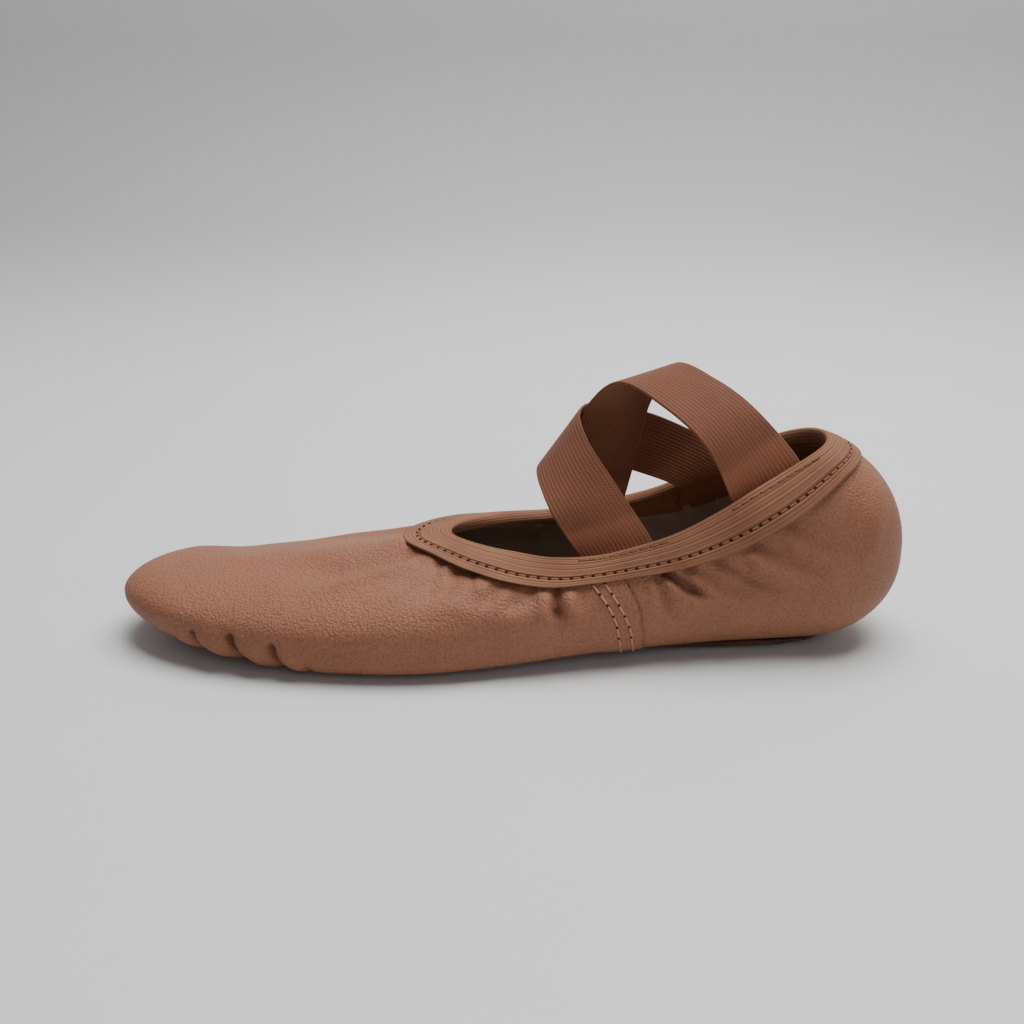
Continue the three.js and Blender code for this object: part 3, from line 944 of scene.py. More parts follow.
@dataclass(frozen=True)
class KnitFinish:
    """Ribbed elastic: raised lengthwise ribs crossed by fine dotted threads."""

    name: str
    pale: Tone
    deep: Tone
    rib: float
    dot: float
    groove: float
    painted_end_light: float = 0.6
    dot_shade: float = 0.26
    relief: float = 0.16
    rough: float = 0.78
    gloss: float = 0.25
    sheen: float = 0.06

    def material(self) -> bpy.types.Material:
        """Builds the finish."""
        shade = Shade(self.name)
        place = shade.place()
        along, across = shade.cloth()
        ribs = (across * (math.pi / self.rib)).sine().size()
        dots = (along * (2 * math.pi / self.dot) + across * (math.pi / self.rib)).sine() * 0.5 + 0.5
        fuzz = shade.noise(place, 3.2, 3.0, 0.6)
        drift = shade.noise(place, 0.07, 2.0)
        base = shade.mix((drift * 0.7 + fuzz * 0.4).between(0.3, 0.8), self.deep, self.pale)
        # Painted light: the marked ends of an elastic, which turn up to face the light, are mixed toward a
        # lighter tone
        base = shade.mix(shade.mark() * self.painted_end_light, base, tuple(min(c * 1.6, 1.0) for c in self.pale))
        gap = 1.0 - ribs.between(0.15, 0.75)
        shadow = gap * self.groove + (1.0 - dots) * self.dot_shade
        colour = shade.mix(shadow, base, tuple(c * 0.42 for c in self.deep))
        shade.bump(ribs * 0.4 + dots * 0.5 * ribs + fuzz * 0.3, self.relief, 0.8)
        return shade.feed(
            Base_Color=colour, Roughness=self.rough + (fuzz - 0.5) * 0.15, Specular_IOR_Level=self.gloss,
            Sheen_Weight=self.sheen, Sheen_Roughness=0.5,
        )


@dataclass(frozen=True)
class NapFinish:
    """Brushed suede or cotton with a nap or a fine weave."""

    name: str
    pale: Tone
    deep: Tone
    weave: float
    relief: float = 0.2
    rough: float = 0.92
    gloss: float = 0.15
    sheen: float = 0.06

    def material(self) -> bpy.types.Material:
        """Builds the finish."""
        shade = Shade(self.name)
        place = shade.place()
        fuzz = shade.noise(place, 2.4, 4.0, 0.65)
        drift = shade.noise(place, 0.06, 3.0)
        if self.weave:
            along, across = shade.cloth()
            turn = 2 * math.pi / self.weave
            thread = (along * turn).sine() * (across * turn).sine() * 0.5 + 0.5
            height = thread * 0.7 + fuzz * 0.4
        else:
            height = fuzz
        colour = shade.mix((drift * 0.6 + height * 0.5).between(0.3, 0.85), self.deep, self.pale)
        shade.bump(height, self.relief, 0.7)
        return shade.feed(
            Base_Color=colour, Roughness=self.rough + (fuzz - 0.5) * 0.1, Specular_IOR_Level=self.gloss,
            Sheen_Weight=self.sheen,
        )


@dataclass(frozen=True)
class ThreadFinish:
    """Twisted sewing thread, or the painted shade of a needle hole."""

    name: str
    pale: Tone
    deep: Tone

    def material(self) -> bpy.types.Material:
        """Builds the finish."""
        shade = Shade(self.name)
        fuzz = shade.noise(shade.place(), 3.0, 2.0)
        shade.bump(fuzz, 0.06, 0.6)
        colour = shade.mix(fuzz, self.deep, self.pale)
        return shade.feed(Base_Color=colour, Roughness=0.7 + fuzz * 0.2, Specular_IOR_Level=0.1)


LEATHER = LeatherFinish()
TAPE = KnitFinish("binding_tape", tone(158, 109, 81), tone(134, 89, 64), 0.98, 0.62, 0.45)
ELASTIC = KnitFinish("strap_elastic", tone(132, 83, 60), tone(118, 71, 50), 1.14, 0.7, 0.1)
SUEDE = NapFinish("sole_suede", tone(110, 78, 62), tone(76, 52, 42), 0.0)
LINING = NapFinish("lining_cotton", tone(176, 156, 140), tone(146, 128, 114), 0.7)
THREAD = ThreadFinish("thread", tone(200, 152, 124), tone(172, 124, 98))
TAPE_THREAD = ThreadFinish("binding_thread", tone(172, 122, 93), tone(142, 96, 71))
DARK_THREAD = ThreadFinish("strap_thread", tone(150, 96, 72), tone(104, 62, 48))
NEEDLE_HOLE_SHADE = ThreadFinish("needle_hole_shade", tone(68, 36, 24), tone(44, 22, 15))


# The upper

@dataclass
class Upper:
    """Leather vamp and quarters lapped at the sides, and the cotton lining behind them."""

    last: Last
    ribs: Ribs
    leather: float = 0.85
    lining_out: float = -1.45
    lining_in: float = -1.65
    under_rows: int = 40
    wall_rows: int = 64
    collar_rows: int = 6
    leather_top: float = 0.8
    vamp_columns: int = 209
    quarter_columns: int = 221
    lap_lift: float = 0.4
    lap_start: float = 0.9
    lap_ease: float = 0.06
    lap_sink: float = 0.55
    lap_reach: float = 12.0
    sink_start: float = 0.6
    sink_ease: float = 1.2
    back_groove: float = 0.8
    groove_width: float = 1.1
    ridge_height: float = 0.3
    ridge_place: float = 3.2
    ridge_width: float = 1.6
    tuck_points: int = 9
    tuck_axis: float = 25.0
    tuck_opens: float = 0.13
    slit_share: float = 0.62
    slit_power: float = 1.5
    slit_painted_shade: float = 1.4
    roll_height: float = 0.26
    roll_place: float = 2.6
    roll_width: float = 1.5
    sag: float = 1.5
    sag_side: float = 0.9
    sag_width: float = 0.16
    sag_top: float = 9.0
    sag_top_ease: float = 6.0
    sag_toe: float = -74.0
    sag_toe_ease: float = 30.0
    sag_heel: float = 78.0
    sag_heel_ease: float = 50.0
    shaded_crease_width: float = 2.0
    throat: float = -30.0
    edge_hold: float = 3.0
    floor: float = 0.12
    floor_gap: float = 0.3
    lip: Line = (
        (30.4, 26.5), (32.2, 24.0), (33.8, 21.5), (35.0, 18.5),
        (35.9, 15.0), (36.5, 11.0), (36.9, 7.0), (37.2, 3.0),
    )
    near: Array = field(init=False)
    lap: Array = field(init=False)

    def __post_init__(self) -> None:
        """Lays out the smooth near side, before creases."""
        under = self.ribs.under(np.linspace(0.0, 1.0, self.under_rows + 1))
        wall = self.ribs.wall(np.linspace(0.0, 1.0, self.wall_rows + 1)[1:])
        level = np.linspace(0.0, self.leather_top, self.collar_rows + 1)[1:]
        rows = np.broadcast_to(level, (self.ribs.count + 1, self.collar_rows))
        collar = self.ribs.collar(rows, np.zeros_like(rows))
        self.near = np.concatenate([under, wall, collar], axis=1)
        self.lap = self._lap_places()

    def _lap_places(self) -> Array:
        """Rib number, with a fraction, of the lapped edge on each row."""
        z = np.array([place[1] for place in self.lip])[::-1]
        x = np.array([place[0] for place in self.lip])[::-1]
        ahead = self.near[..., 0] - np.interp(self.near[..., 2], z, x)
        first = np.argmax(ahead > 0.0, axis=0)
        rows = np.arange(ahead.shape[1])
        a = ahead[first - 1, rows]
        b = ahead[first, rows]
        return first - 1 + a / (a - b)

    def _at(self, places: Array) -> Array:
        """Points of the smooth near side at rib numbers with fractions, by column and row."""
        low = np.clip(np.floor(places).astype(int), 0, self.ribs.count - 1)
        share = (places - low)[..., None]
        rows = np.broadcast_to(np.arange(places.shape[1]), places.shape)
        return self.near[low, rows] * (1.0 - share) + self.near[low + 1, rows] * share

    def _tuck_line(self, tuck: Tuck, side: float) -> Array:
        """The line of a toe tuck on one side, from its top to its foot under the sole."""
        a = np.array([tuck.top_x, side * float(self.last.half_width(tuck.top_x, tuck.top_z)), tuck.top_z])
        y = side * tuck.foot_share * float(self.last.section(tuck.foot_x, 0.0).half)
        b = np.array([tuck.foot_x, y, float(self.last.underside(tuck.foot_x, y, 0.0))])
        toward = blend(a, b, np.linspace(0.0, 1.0, self.tuck_points)[:, None])
        widest = float(self.last.section(tuck.foot_x, 0.0).widest)
        start = np.array([tuck.foot_x + self.tuck_axis, 0.0, widest])
        return self.last.cast_out(np.broadcast_to(start, toward.shape), toward)

    def creased(self, grid: Array) -> tuple[Array, Array]:
        """The leather's own relief: creases, toe tucks and the sag over the sole.

        Args:
            grid: points of the smooth leather.

        Returns:
            How far each point stands out from the last, and how deep it lies in a pinched fold, which sets
            how much shade is painted there.
        """
        rise = np.zeros(grid.shape[:-1])
        painted_fold_shade = np.zeros(grid.shape[:-1])
        puckers = pucker_creases(Face.NEAR) + pucker_creases(Face.FAR)
        for crease in NEAR_CREASES + FAR_CREASES + TOP_CREASES + puckers:
            distance, place = along_line(grid, crease.points(self.last))
            strength = smooth((1.0 - place) / crease.fade)
            if not crease.held:
                strength = strength * smooth(place / crease.fade)
            relief = crease.depth * strength * bell(distance, crease.width)
            rise += relief
            # Narrow troughs get painted shade as deep as they sink
            if crease.width < self.shaded_crease_width:
                painted_fold_shade -= np.minimum(relief, 0.0)
        for tuck in TUCKS:
            for side in SIDES:
                distance, place = along_line(grid, self._tuck_line(tuck, side))
                opens = smooth(place / self.tuck_opens)
                sharp = np.abs(distance / (tuck.width * self.slit_share)) ** self.slit_power
                slit = tuck.depth * opens * np.exp(-sharp)
                rise -= slit
                # The slits of the toe tucks get painted shade too
                painted_fold_shade += self.slit_painted_shade * slit
                roll = bell(distance - self.roll_place * tuck.width, self.roll_width * tuck.width)
                rise += self.roll_height * tuck.depth * opens * roll
        rise += self._sagging(grid)
        below = self.last.collar_height(grid[..., 0], 0.0) - grid[..., 2]
        held = np.where(grid[..., 0] > self.throat, smooth(below / self.edge_hold), 1.0)
        return np.where(rise > 0.0, rise * held, rise), painted_fold_shade

    def _sagging(self, grid: Array) -> Array:
        """How far the leather sags out over the edge of the sole."""
        x, y, z = grid[..., 0], grid[..., 1], grid[..., 2]
        side = np.abs(y) / np.maximum(self.last.section(x, 0.0).half, 1.0)
        corner = bell(side - self.sag_side, self.sag_width) * smooth((self.sag_top - z) / self.sag_top_ease)
        from_toe = smooth((x - self.sag_toe) / self.sag_toe_ease)
        return self.sag * corner * (from_toe * smooth((self.sag_heel - x) / self.sag_heel_ease))

    def build(self, leather: bpy.types.Material, lining: bpy.types.Material) -> None:
        """Makes the vamp, the quarters and the lining."""
        self._vamp(leather)
        self._quarters(leather)
        self._lining(lining)

    def _sheet(self, name: str, grid: Array, added: Array, leather: bpy.types.Material) -> None:
        """Makes one leather panel from its smooth points and its own added rise."""
        normal = normals(grid, False)
        crease, painted_fold_shade = self.creased(grid)
        outer = grid + normal * (crease + added)[..., None]
        outer[..., 2] = np.maximum(outer[..., 2], self.floor)
        inner = outer - normal * self.leather
        inner[..., 2] = np.maximum(inner[..., 2], self.floor + self.floor_gap)
        put_piece(shell(name, outer, inner, False, painted_fold_shade), leather, ["upper"])

    def _vamp(self, leather: bpy.types.Material) -> None:
        """The front panel, from lap to lap round the toe."""
        columns = np.linspace(0.0, 1.0, self.vamp_columns)[:, None]
        near = self._at(columns * self.lap[None, :])
        far = near[1:][::-1] * MIRROR
        grid = np.concatenate([far, near])
        arc = np.abs(np.linspace(-1.0, 1.0, len(grid)))[:, None]
        lap = self.lap_lift * smooth((arc - self.lap_start) / self.lap_ease)
        self._sheet("vamp", grid, lap, leather)

    def _quarters(self, leather: bpy.types.Material) -> None:
        """The two back panels, from under the vamp's edge to the seam at the back of the heel."""
        girth = self.near[:, self.under_rows]
        step = float(np.linalg.norm(np.diff(girth, axis=0), axis=1).mean())
        start = self.lap[None, :] - self.lap_reach / step
        columns = np.linspace(0.0, 1.0, self.quarter_columns)[:, None]
        grid = self._at(start + (self.ribs.count - start) * columns)
        under = columns * (self.ribs.count - start) * step - self.lap_reach
        sink = -self.lap_sink * (1.0 - smooth((under + self.sink_start) / self.sink_ease))
        back = (1.0 - columns) * (self.ribs.count - start) * step
        ridge = self.ridge_height * bell(back - self.ridge_place, self.ridge_width)
        groove = -self.back_groove * bell(back, self.groove_width) + ridge
        self._sheet("quarter_near", grid, sink + groove, leather)
        self._sheet("quarter_far", grid[::-1] * MIRROR, (sink + groove)[::-1], leather)

    def _lining(self, lining: bpy.types.Material) -> None:
        """The cotton behind the leather, from just above the insole to the binding."""
        ring = mirrored(self.near[::2, self.under_rows // 2 :])
        normal = normals(ring, True)
        ring = ring + normal * np.minimum(self.creased(ring)[0], 0.0)[..., None]
        mesh = shell("lining", ring + normal * self.lining_out, ring + normal * self.lining_in, True)
        put_piece(mesh, lining)


# The binding

@dataclass
class Binding:
    """Ribbed elastic tape folded over the edge of the leather and stitched through."""

    ribs: Ribs
    leather: float = 1.4
    tape: float = 0.9
    gap: float = 0.3
    fold_level: float = 0.86
    outer_rows: int = 56
    fold_rows: int = 14
    inner_rows: int = 36
    rib_count: float = 7.0
    rib_height: float = 0.2
    stitch_level: float = 0.27
    stitch_count: int = 104
    stitch_groove: float = 0.28
    groove_width: float = 0.05
    hole_depth: float = 0.35
    hole_tightness: float = 6.5
    lip_level: float = 0.13
    lip_ease: float = 0.05
    lip_height: float = 0.16
    lip_middle: float = 0.07
    lip_width: float = 0.06
    fold_start: float = 0.88
    fold_rise: float = 0.12

    def _path(self) -> tuple[Array, Array, Array]:
        """Levels, distances out and rib heights of the tape's section, once round it."""
        outside = self.gap + self.tape
        inside = -self.leather - self.gap - self.tape
        middle = -self.leather / 2
        up = np.linspace(0.0, self.fold_start, self.outer_rows)
        turn = np.linspace(0.0, np.pi, self.fold_rows + 2)[1:-1]
        down = np.linspace(self.fold_start, 0.0, self.inner_rows)
        reach = (outside - inside) / 2
        fold = self.fold_start + self.fold_rise * np.sin(turn)
        across = middle + reach * np.cos(turn)
        slot = np.array([0.0, self.fold_level, self.fold_level, 0.0])
        walls = np.array([-self.leather - self.gap, -self.leather - self.gap, self.gap, self.gap])
        level = np.concatenate([up, fold, down, slot])
        out = np.concatenate([np.full(len(up), outside), across, np.full(len(down), inside), walls])
        ribbed = np.concatenate([np.ones(len(up)), np.zeros(len(turn)), -np.ones(len(down)), np.zeros(4)])
        return level, out, ribbed

    def _stitch_row(self) -> Array:
        """The line of the stitches on the outer face, once round the shoe."""
        rows = np.full((self.ribs.count + 1, 1), self.stitch_level)
        near = self.ribs.collar(rows, np.full_like(rows, self.gap + self.tape - self.stitch_groove))
        return mirrored(near)[:, 0]

    def build(self, tape: bpy.types.Material) -> Array:
        """Makes the tape and returns the line of its stitches."""
        level, out, ribbed = self._path()
        row = self._stitch_row()
        count = self.ribs.count + 1
        reach = lengths(row, True)
        turn = reach[:count] / reach[-1] * self.stitch_count
        hole = bell((turn - np.round(turn)) * self.hole_tightness, 1.0)
        waves = np.abs(np.sin(np.pi * self.rib_count * (level - self.stitch_level)))
        ribs = self.rib_height * waves**RIB_POWER * smooth((level - self.lip_level) / self.lip_ease)
        stitched = bell(level - self.stitch_level, self.groove_width) * (ribbed > 0)
        lip = self.lip_height * bell(level - self.lip_middle, self.lip_width)
        rise = ribbed * (ribs * (1.0 - stitched) + lip)
        grid_out = out[None, :] + rise[None, :] - stitched[None, :] * (
            self.stitch_groove + self.hole_depth * hole[:, None]
        )
        grid_level = np.broadcast_to(level, grid_out.shape)
        ring = mirrored(self.ribs.collar(grid_level, grid_out))
        skin = Skin()
        numbers = skin.add_points(ring)
        closed = np.concatenate([numbers, numbers[:, :1]], axis=1)
        middle = ring[ring.shape[0] // 4]
        skin.add_grid(closed, True, False, reach, lengths(middle, True))
        put_piece(skin.mesh("binding_tape"), tape, ["binding"])
        return row


# The crossed elastics

class SewnEnd(NamedTuple):
    """Where the two edges of an elastic meet the collar."""

    front: float
    back: float


class Bend(NamedTuple):
    """The middle of an elastic at a free bend, and the direction across it."""

    x: float
    y: float
    z: float
    across_x: float
    across_y: float
    across_z: float


FRONT_BENDS = (
    Bend(21.0, -16.0, 44.0, 0.9, 0.2, 0.35),
    Bend(15.5, -10.0, 52.5, 0.62, 0.3, 0.7),
    Bend(14.0, 1.0, 57.5, 0.6, 0.05, 0.8),
    Bend(21.0, 15.0, 57.5, 0.45, -0.2, 0.85),
    Bend(41.0, 20.0, 52.0, 0.6, -0.05, 0.8),
)
BACK_BENDS = (
    Bend(61.0, -13.0, 64.0, 0.74, 0.5, 0.44),
    Bend(50.5, -6.0, 72.5, 0.78, 0.55, 0.3),
    Bend(39.0, 1.5, 77.0, 0.88, 0.42, 0.2),
    Bend(32.0, 6.5, 67.5, 0.94, 0.3, 0.0),
    Bend(28.0, 11.5, 50.0, 0.98, 0.1, -0.1),
)


def flowing(knots: Array, steps: Array) -> Array:
    """A smooth curve through knots, at steps from 0 to 1 with an equal share for each span."""
    first = 2 * knots[0] - knots[1]
    final = 2 * knots[-1] - knots[-2]
    whole = np.concatenate([[first], knots, [final]])
    spans = len(knots) - 1
    i = np.clip((steps * spans).astype(int), 0, spans - 1)
    t = (steps * spans - i)[:, None]
    a, b, c, d = (whole[i + k] for k in range(4))
    ab, bc, cd = (np.sqrt(np.linalg.norm(q - p, axis=1))[:, None] for p, q in ((a, b), (b, c), (c, d)))
    leave = ((b - a) / ab - (c - a) / (ab + bc) + (c - b) / bc) * bc
    arrive = ((c - b) / bc - (d - b) / (bc + cd) + (d - c) / cd) * bc
    return (
        (2 * t**3 - 3 * t**2 + 1) * b + (t**3 - 2 * t**2 + t) * leave
        + (3 * t**2 - 2 * t**3) * c + (t**3 - t**2) * arrive
    )


@dataclass
class Strap:
    """One ribbed elastic, sewn inside the binding at both ends."""

    name: str
    last: Last
    near: SewnEnd
    far: SewnEnd
    bends: tuple[Bend, ...]
    width: float = 20.0
    thick: float = 0.8
    out: float = -3.4
    sewn_levels: tuple[float, ...] = (0.3, 0.65, 0.98)
    rib: float = 1.14
    rib_height: float = 0.05
    painted_light_ends: float = 0.27
    painted_light_ease: float = 0.02
    edge_start: float = 0.08
    edge_round: float = 0.5
    columns: int = 200
    rows: int = 108

    def _sewn(self, x: float, side: float) -> list[Array]:
        """Points of an edge, going up, where it lies against the inside of the binding."""
        return [self.last.on_collar(x, side, level, self.out) for level in self.sewn_levels]

    def _edge(self, end: str, sign: float) -> Array:
        """One edge of the elastic from its near end to its far end."""
        knots = self._sewn(getattr(self.near, end), -1.0)
        for bend in self.bends:
            across = np.array([bend.across_x, bend.across_y, bend.across_z])
            half = across / np.linalg.norm(across) * self.width / 2
            knots.append(np.array([bend.x, bend.y, bend.z]) + sign * half)
        knots += reversed(self._sewn(getattr(self.far, end), 1.0))
        return flowing(np.array(knots), np.linspace(0.0, 1.0, self.columns))

    def build(self, elastic: bpy.types.Material) -> None:
        """Makes the elastic with its ribs."""
        front = self._edge("front", -1.0)
        back = self._edge("back", 1.0)
        share = np.linspace(0.0, 1.0, self.rows)
        middle = front[:, None] + (back - front)[:, None] * share[None, :, None]
        normal = normals(middle, False)
        across = share * self.width
        wave = np.abs(np.sin(np.pi * across / self.rib)) ** RIB_POWER
        edge = np.minimum(across, self.width - across)
        body = self.thick / 2 * rounding(edge + self.edge_start, self.edge_round)
        half = body + self.rib_height * (wave - 0.5) * smooth(edge / self.edge_round)
        outer = middle + normal * half[None, :, None]
        inner = middle - normal * half[None, :, None]
        place = np.linspace(0.0, 1.0, self.columns)[:, None]
        # Painted light: the stretch near each sewn end is marked to be painted lighter, where the elastic
        # turns up into the light
        painted_light_ends = smooth((self.painted_light_ends - np.minimum(place, 1.0 - place)) / self.painted_light_ease)
        marks = np.broadcast_to(painted_light_ends, middle.shape[:2])
        mesh = shell(self.name + "_elastic", outer, inner, False, marks)
        put_piece(mesh, elastic, [self.name])


# The soles

@dataclass
class Plate:
    """A flat piece under or inside the foot, rounded off at its rim."""

    name: str
    last: Last
    share: float
    toe: float
    heel: float
    lower: float
    upper: float
    node: str
    slot: str
    spokes: int = 240
    rings: int = 26
    hub: float = 0.02
    floor: float = 0.02
    reach: float = 30.0
    rim_width: float = 1.6
    rim_share: float = 0.8

    def build(self, finish: bpy.types.Material) -> None:
        """Makes the plate between its lower and upper face."""
        last = self.last
        start = -last.length / 2 + self.toe
        end = last.length / 2 - self.heel
        angle = 2 * np.pi * np.arange(self.spokes) / self.spokes
        shares = np.sin(np.linspace(self.hub, 1.0, self.rings) * np.pi / 2)
        centre = (start + end) / 2
        outline_x = centre - (end - start) / 2 * np.cos(angle)
        width, ends = last.plan(outline_x, start, end)
        outline_y = -np.sign(np.sin(angle)) * self.share * width * ends
        x = centre + (outline_x - centre)[:, None] * shares
        y = outline_y[:, None] * shares
        low = np.maximum(last.underside(x, y, self.lower), self.floor)
        high = last.underside(x, y, self.upper)
        rim = 1.0 - rounding((1.0 - shares) * self.reach, self.rim_width)
        middle = (low + high) / 2
        low = low + (middle - low) * rim * self.rim_share
        high = high + (middle - high) * rim * self.rim_share
        skin = Skin()
        top = skin.add_points(np.stack([x, y, high], axis=2))
        bottom = skin.add_points(np.stack([x, y, low], axis=2))
        u = np.arange(self.spokes + 1) * 1.0
        v = shares * self.reach
        skin.add_grid(top, True, False, u, v)
        skin.add_grid(bottom, True, True, u, v)
        skin.add_grid(np.stack([top[:, -1], bottom[:, -1]], axis=1), True, False, u, v[:2])
        mesh = skin.mesh(self.name)
        put_piece(self._closed(mesh), finish, [self.node])

    @staticmethod
    def _closed(mesh: bpy.types.Mesh) -> bpy.types.Mesh:
        """Fills the small holes at the middle of both faces."""
        work = bmesh.new()
        work.from_mesh(mesh)
        rim = [edge for edge in work.edges if edge.is_boundary]
        bmesh.ops.holes_fill(work, edges=rim, sides=0)
        bmesh.ops.recalc_face_normals(work, faces=work.faces)
        work.to_mesh(mesh)
        work.free()
        return mesh


# Stitches

class Mark(Enum):
    """What a row of sewing leaves on the surface."""

    THREAD = "thread"
    HOLE = "hole"


@dataclass
class StitchRow:
    """A geometry tree that lays threads, or dark beads of painted shade for needle holes, along lines on
    the surface.
    """

    mark: Mark
    spacing: float
    radius: float
    lift: float
    tree: bpy.types.NodeTree = field(init=False)

    def _tree(self, material: bpy.types.Material) -> tuple[bpy.types.NodeTree, dict[str, str]]:
        """Builds the tree and gives the identifiers of its inputs by name."""
        tree = bpy.data.node_groups.new("sewing_" + self.mark.value, "GeometryNodeTree")
        face = tree.interface
        face.new_socket("Geometry", in_out="INPUT", socket_type="NodeSocketGeometry")
        names = {}
        for name in ("Spacing", "Radius", "Lift"):
            names[name] = face.new_socket(name, in_out="INPUT", socket_type="NodeSocketFloat").identifier
        face.new_socket("Geometry", in_out="OUTPUT", socket_type="NodeSocketGeometry")
        self.tree = tree
        start = tree.nodes.new("NodeGroupInput")
        curve = self._node("GeometryNodeMeshToCurve", {}, {"Mesh": start.outputs["Geometry"]})
        even = self._node(
            "GeometryNodeResampleCurve", {"mode": "LENGTH"},
            {"Curve": curve.outputs[0], "Length": start.outputs["Spacing"]},
        )
        facing = self._node(
            "GeometryNodeInputNamedAttribute", {"data_type": "FLOAT_VECTOR"}, {"Name": "facing"},
        )
        tangent = self._node("GeometryNodeInputTangent", {}, {})
        along = self._node(
            "FunctionNodeAlignRotationToVector", {"axis": "X", "pivot_axis": "AUTO"},
            {"Vector": tangent.outputs[0]},
        )
        turned = self._node(
            "FunctionNodeAlignRotationToVector", {"axis": "Z", "pivot_axis": "X"},
            {"Rotation": along.outputs[0], "Vector": facing.outputs["Attribute"]},
        )
        shape = self._thread(start) if self.mark is Mark.THREAD else self._hole(start)
        laid = self._node(
            "GeometryNodeInstanceOnPoints", {},
            {"Points": even.outputs[0], "Instance": shape, "Rotation": turned.outputs[0]},
        )
        whole = self._node("GeometryNodeRealizeInstances", {}, {"Geometry": laid.outputs[0]})
        dressed = self._node(
            "GeometryNodeSetMaterial", {}, {"Geometry": whole.outputs[0], "Material": material},
        )
        end = tree.nodes.new("NodeGroupOutput")
        tree.links.new(dressed.outputs[0], end.inputs[0])
        return tree, names

    def _node(self, kind: str, settings: dict[str, Any], inputs: dict[str, Any]) -> bpy.types.Node:
        """Adds a node to the tree, with its settings first and then its inputs."""
        node = self.tree.nodes.new(kind)
        for name, value in settings.items():
            setattr(node, name, value)
        for name, value in inputs.items():
            if isinstance(value, bpy.types.NodeSocket):
                self.tree.links.new(value, node.inputs[name])
            else:
                node.inputs[name].default_value = value
        return node

    def _vector(self, x: bpy.types.NodeSocket, share: float, z: Any) -> bpy.types.NodeSocket:
        """A point at a share of a length along the row, and a height above the surface."""
        scaled = self._node("ShaderNodeMath", {"operation": "MULTIPLY"}, {})
        self.tree.links.new(x, scaled.inputs[0])
        scaled.inputs[1].default_value = share
        point = self._node("ShaderNodeCombineXYZ", {}, {"X": scaled.outputs[0], "Z": z})
        return point.outputs[0]

    def _thread(self, start: bpy.types.Node) -> bpy.types.NodeSocket:
        """One stitch: a low arch of thread between two holes."""
        arch = self._node("GeometryNodeCurveQuadraticBezier", {}, {"Resolution": 6})
        lift = start.outputs["Lift"]
        for name, share, z in (("Start", 0.1, 0.0), ("Middle", 0.5, lift), ("End", 0.9, 0.0)):
            self.tree.links.new(self._vector(start.outputs["Spacing"], share, z), arch.inputs[name])
        ring = self._node(
            "GeometryNodeCurvePrimitiveCircle", {}, {"Resolution": 6, "Radius": start.outputs["Radius"]},
        )
        tube = self._node(
            "GeometryNodeCurveToMesh", {},
            {"Curve": arch.outputs[0], "Profile Curve": ring.outputs[0], "Fill Caps": True},
        )
        return tube.outputs[0]

    def _hole(self, start: bpy.types.Node) -> bpy.types.NodeSocket:
        """One needle hole: a small flattened dark bead in the surface, painted shade for the hole."""
        bead = self._node(
            "GeometryNodeMeshIcoSphere", {}, {"Subdivisions": 2, "Radius": start.outputs["Radius"]},
        )
        flat = self._node(
            "GeometryNodeTransform", {},
            {"Geometry": bead.outputs[0], "Scale": (1.0, 0.8, 0.45)},
        )
        return flat.outputs[0]

    def build(self, name: str, lines: Sequence[tuple[Array, Array, bool]], material: bpy.types.Material,
              slot: str) -> None:
        """Lays the row along lines.

        Args:
            name: the piece's name.
            lines: for each line its points, their outward directions and whether it is closed.
            material: the finish of the threads or holes.
            slot: not used.
        """
        mesh = bpy.data.meshes.new(name + "_lines")
        points, edges, facing = [], [], []
        for line, out, closed in lines:
            first = len(points)
            points += (line * MM).tolist()
            facing += out.tolist()
            edges += [(first + i, first + i + 1) for i in range(len(line) - 1)]
            if closed:
                edges.append((first + len(line) - 1, first))
        mesh.from_pydata(points, edges, [])
        layer = mesh.attributes.new("facing", "FLOAT_VECTOR", "POINT")
        layer.data.foreach_set("vector", np.array(facing, np.float32).ravel())
        guide = bpy.data.objects.new(name + "_lines", mesh)
        bpy.context.scene.collection.objects.link(guide)
        tree, names = self._tree(material)
        modifier = guide.modifiers.new("sewing", "NODES")
        modifier.node_group = tree
        sizes = {"Spacing": self.spacing, "Radius": self.radius, "Lift": self.lift}
        for socket, size in sizes.items():
            modifier[names[socket]] = size * MM
        graph = bpy.context.evaluated_depsgraph_get()
        made = bpy.data.meshes.new_from_object(guide.evaluated_get(graph))
        made.name = name
        guide.modifiers.remove(modifier)
        bpy.data.objects.remove(guide)
        put_piece(made, None)


class StitchSize(NamedTuple):
    """Radius of a stitch's thread, height of its arch and radius of its needle hole."""

    thread: float
    arch: float
    hole: float


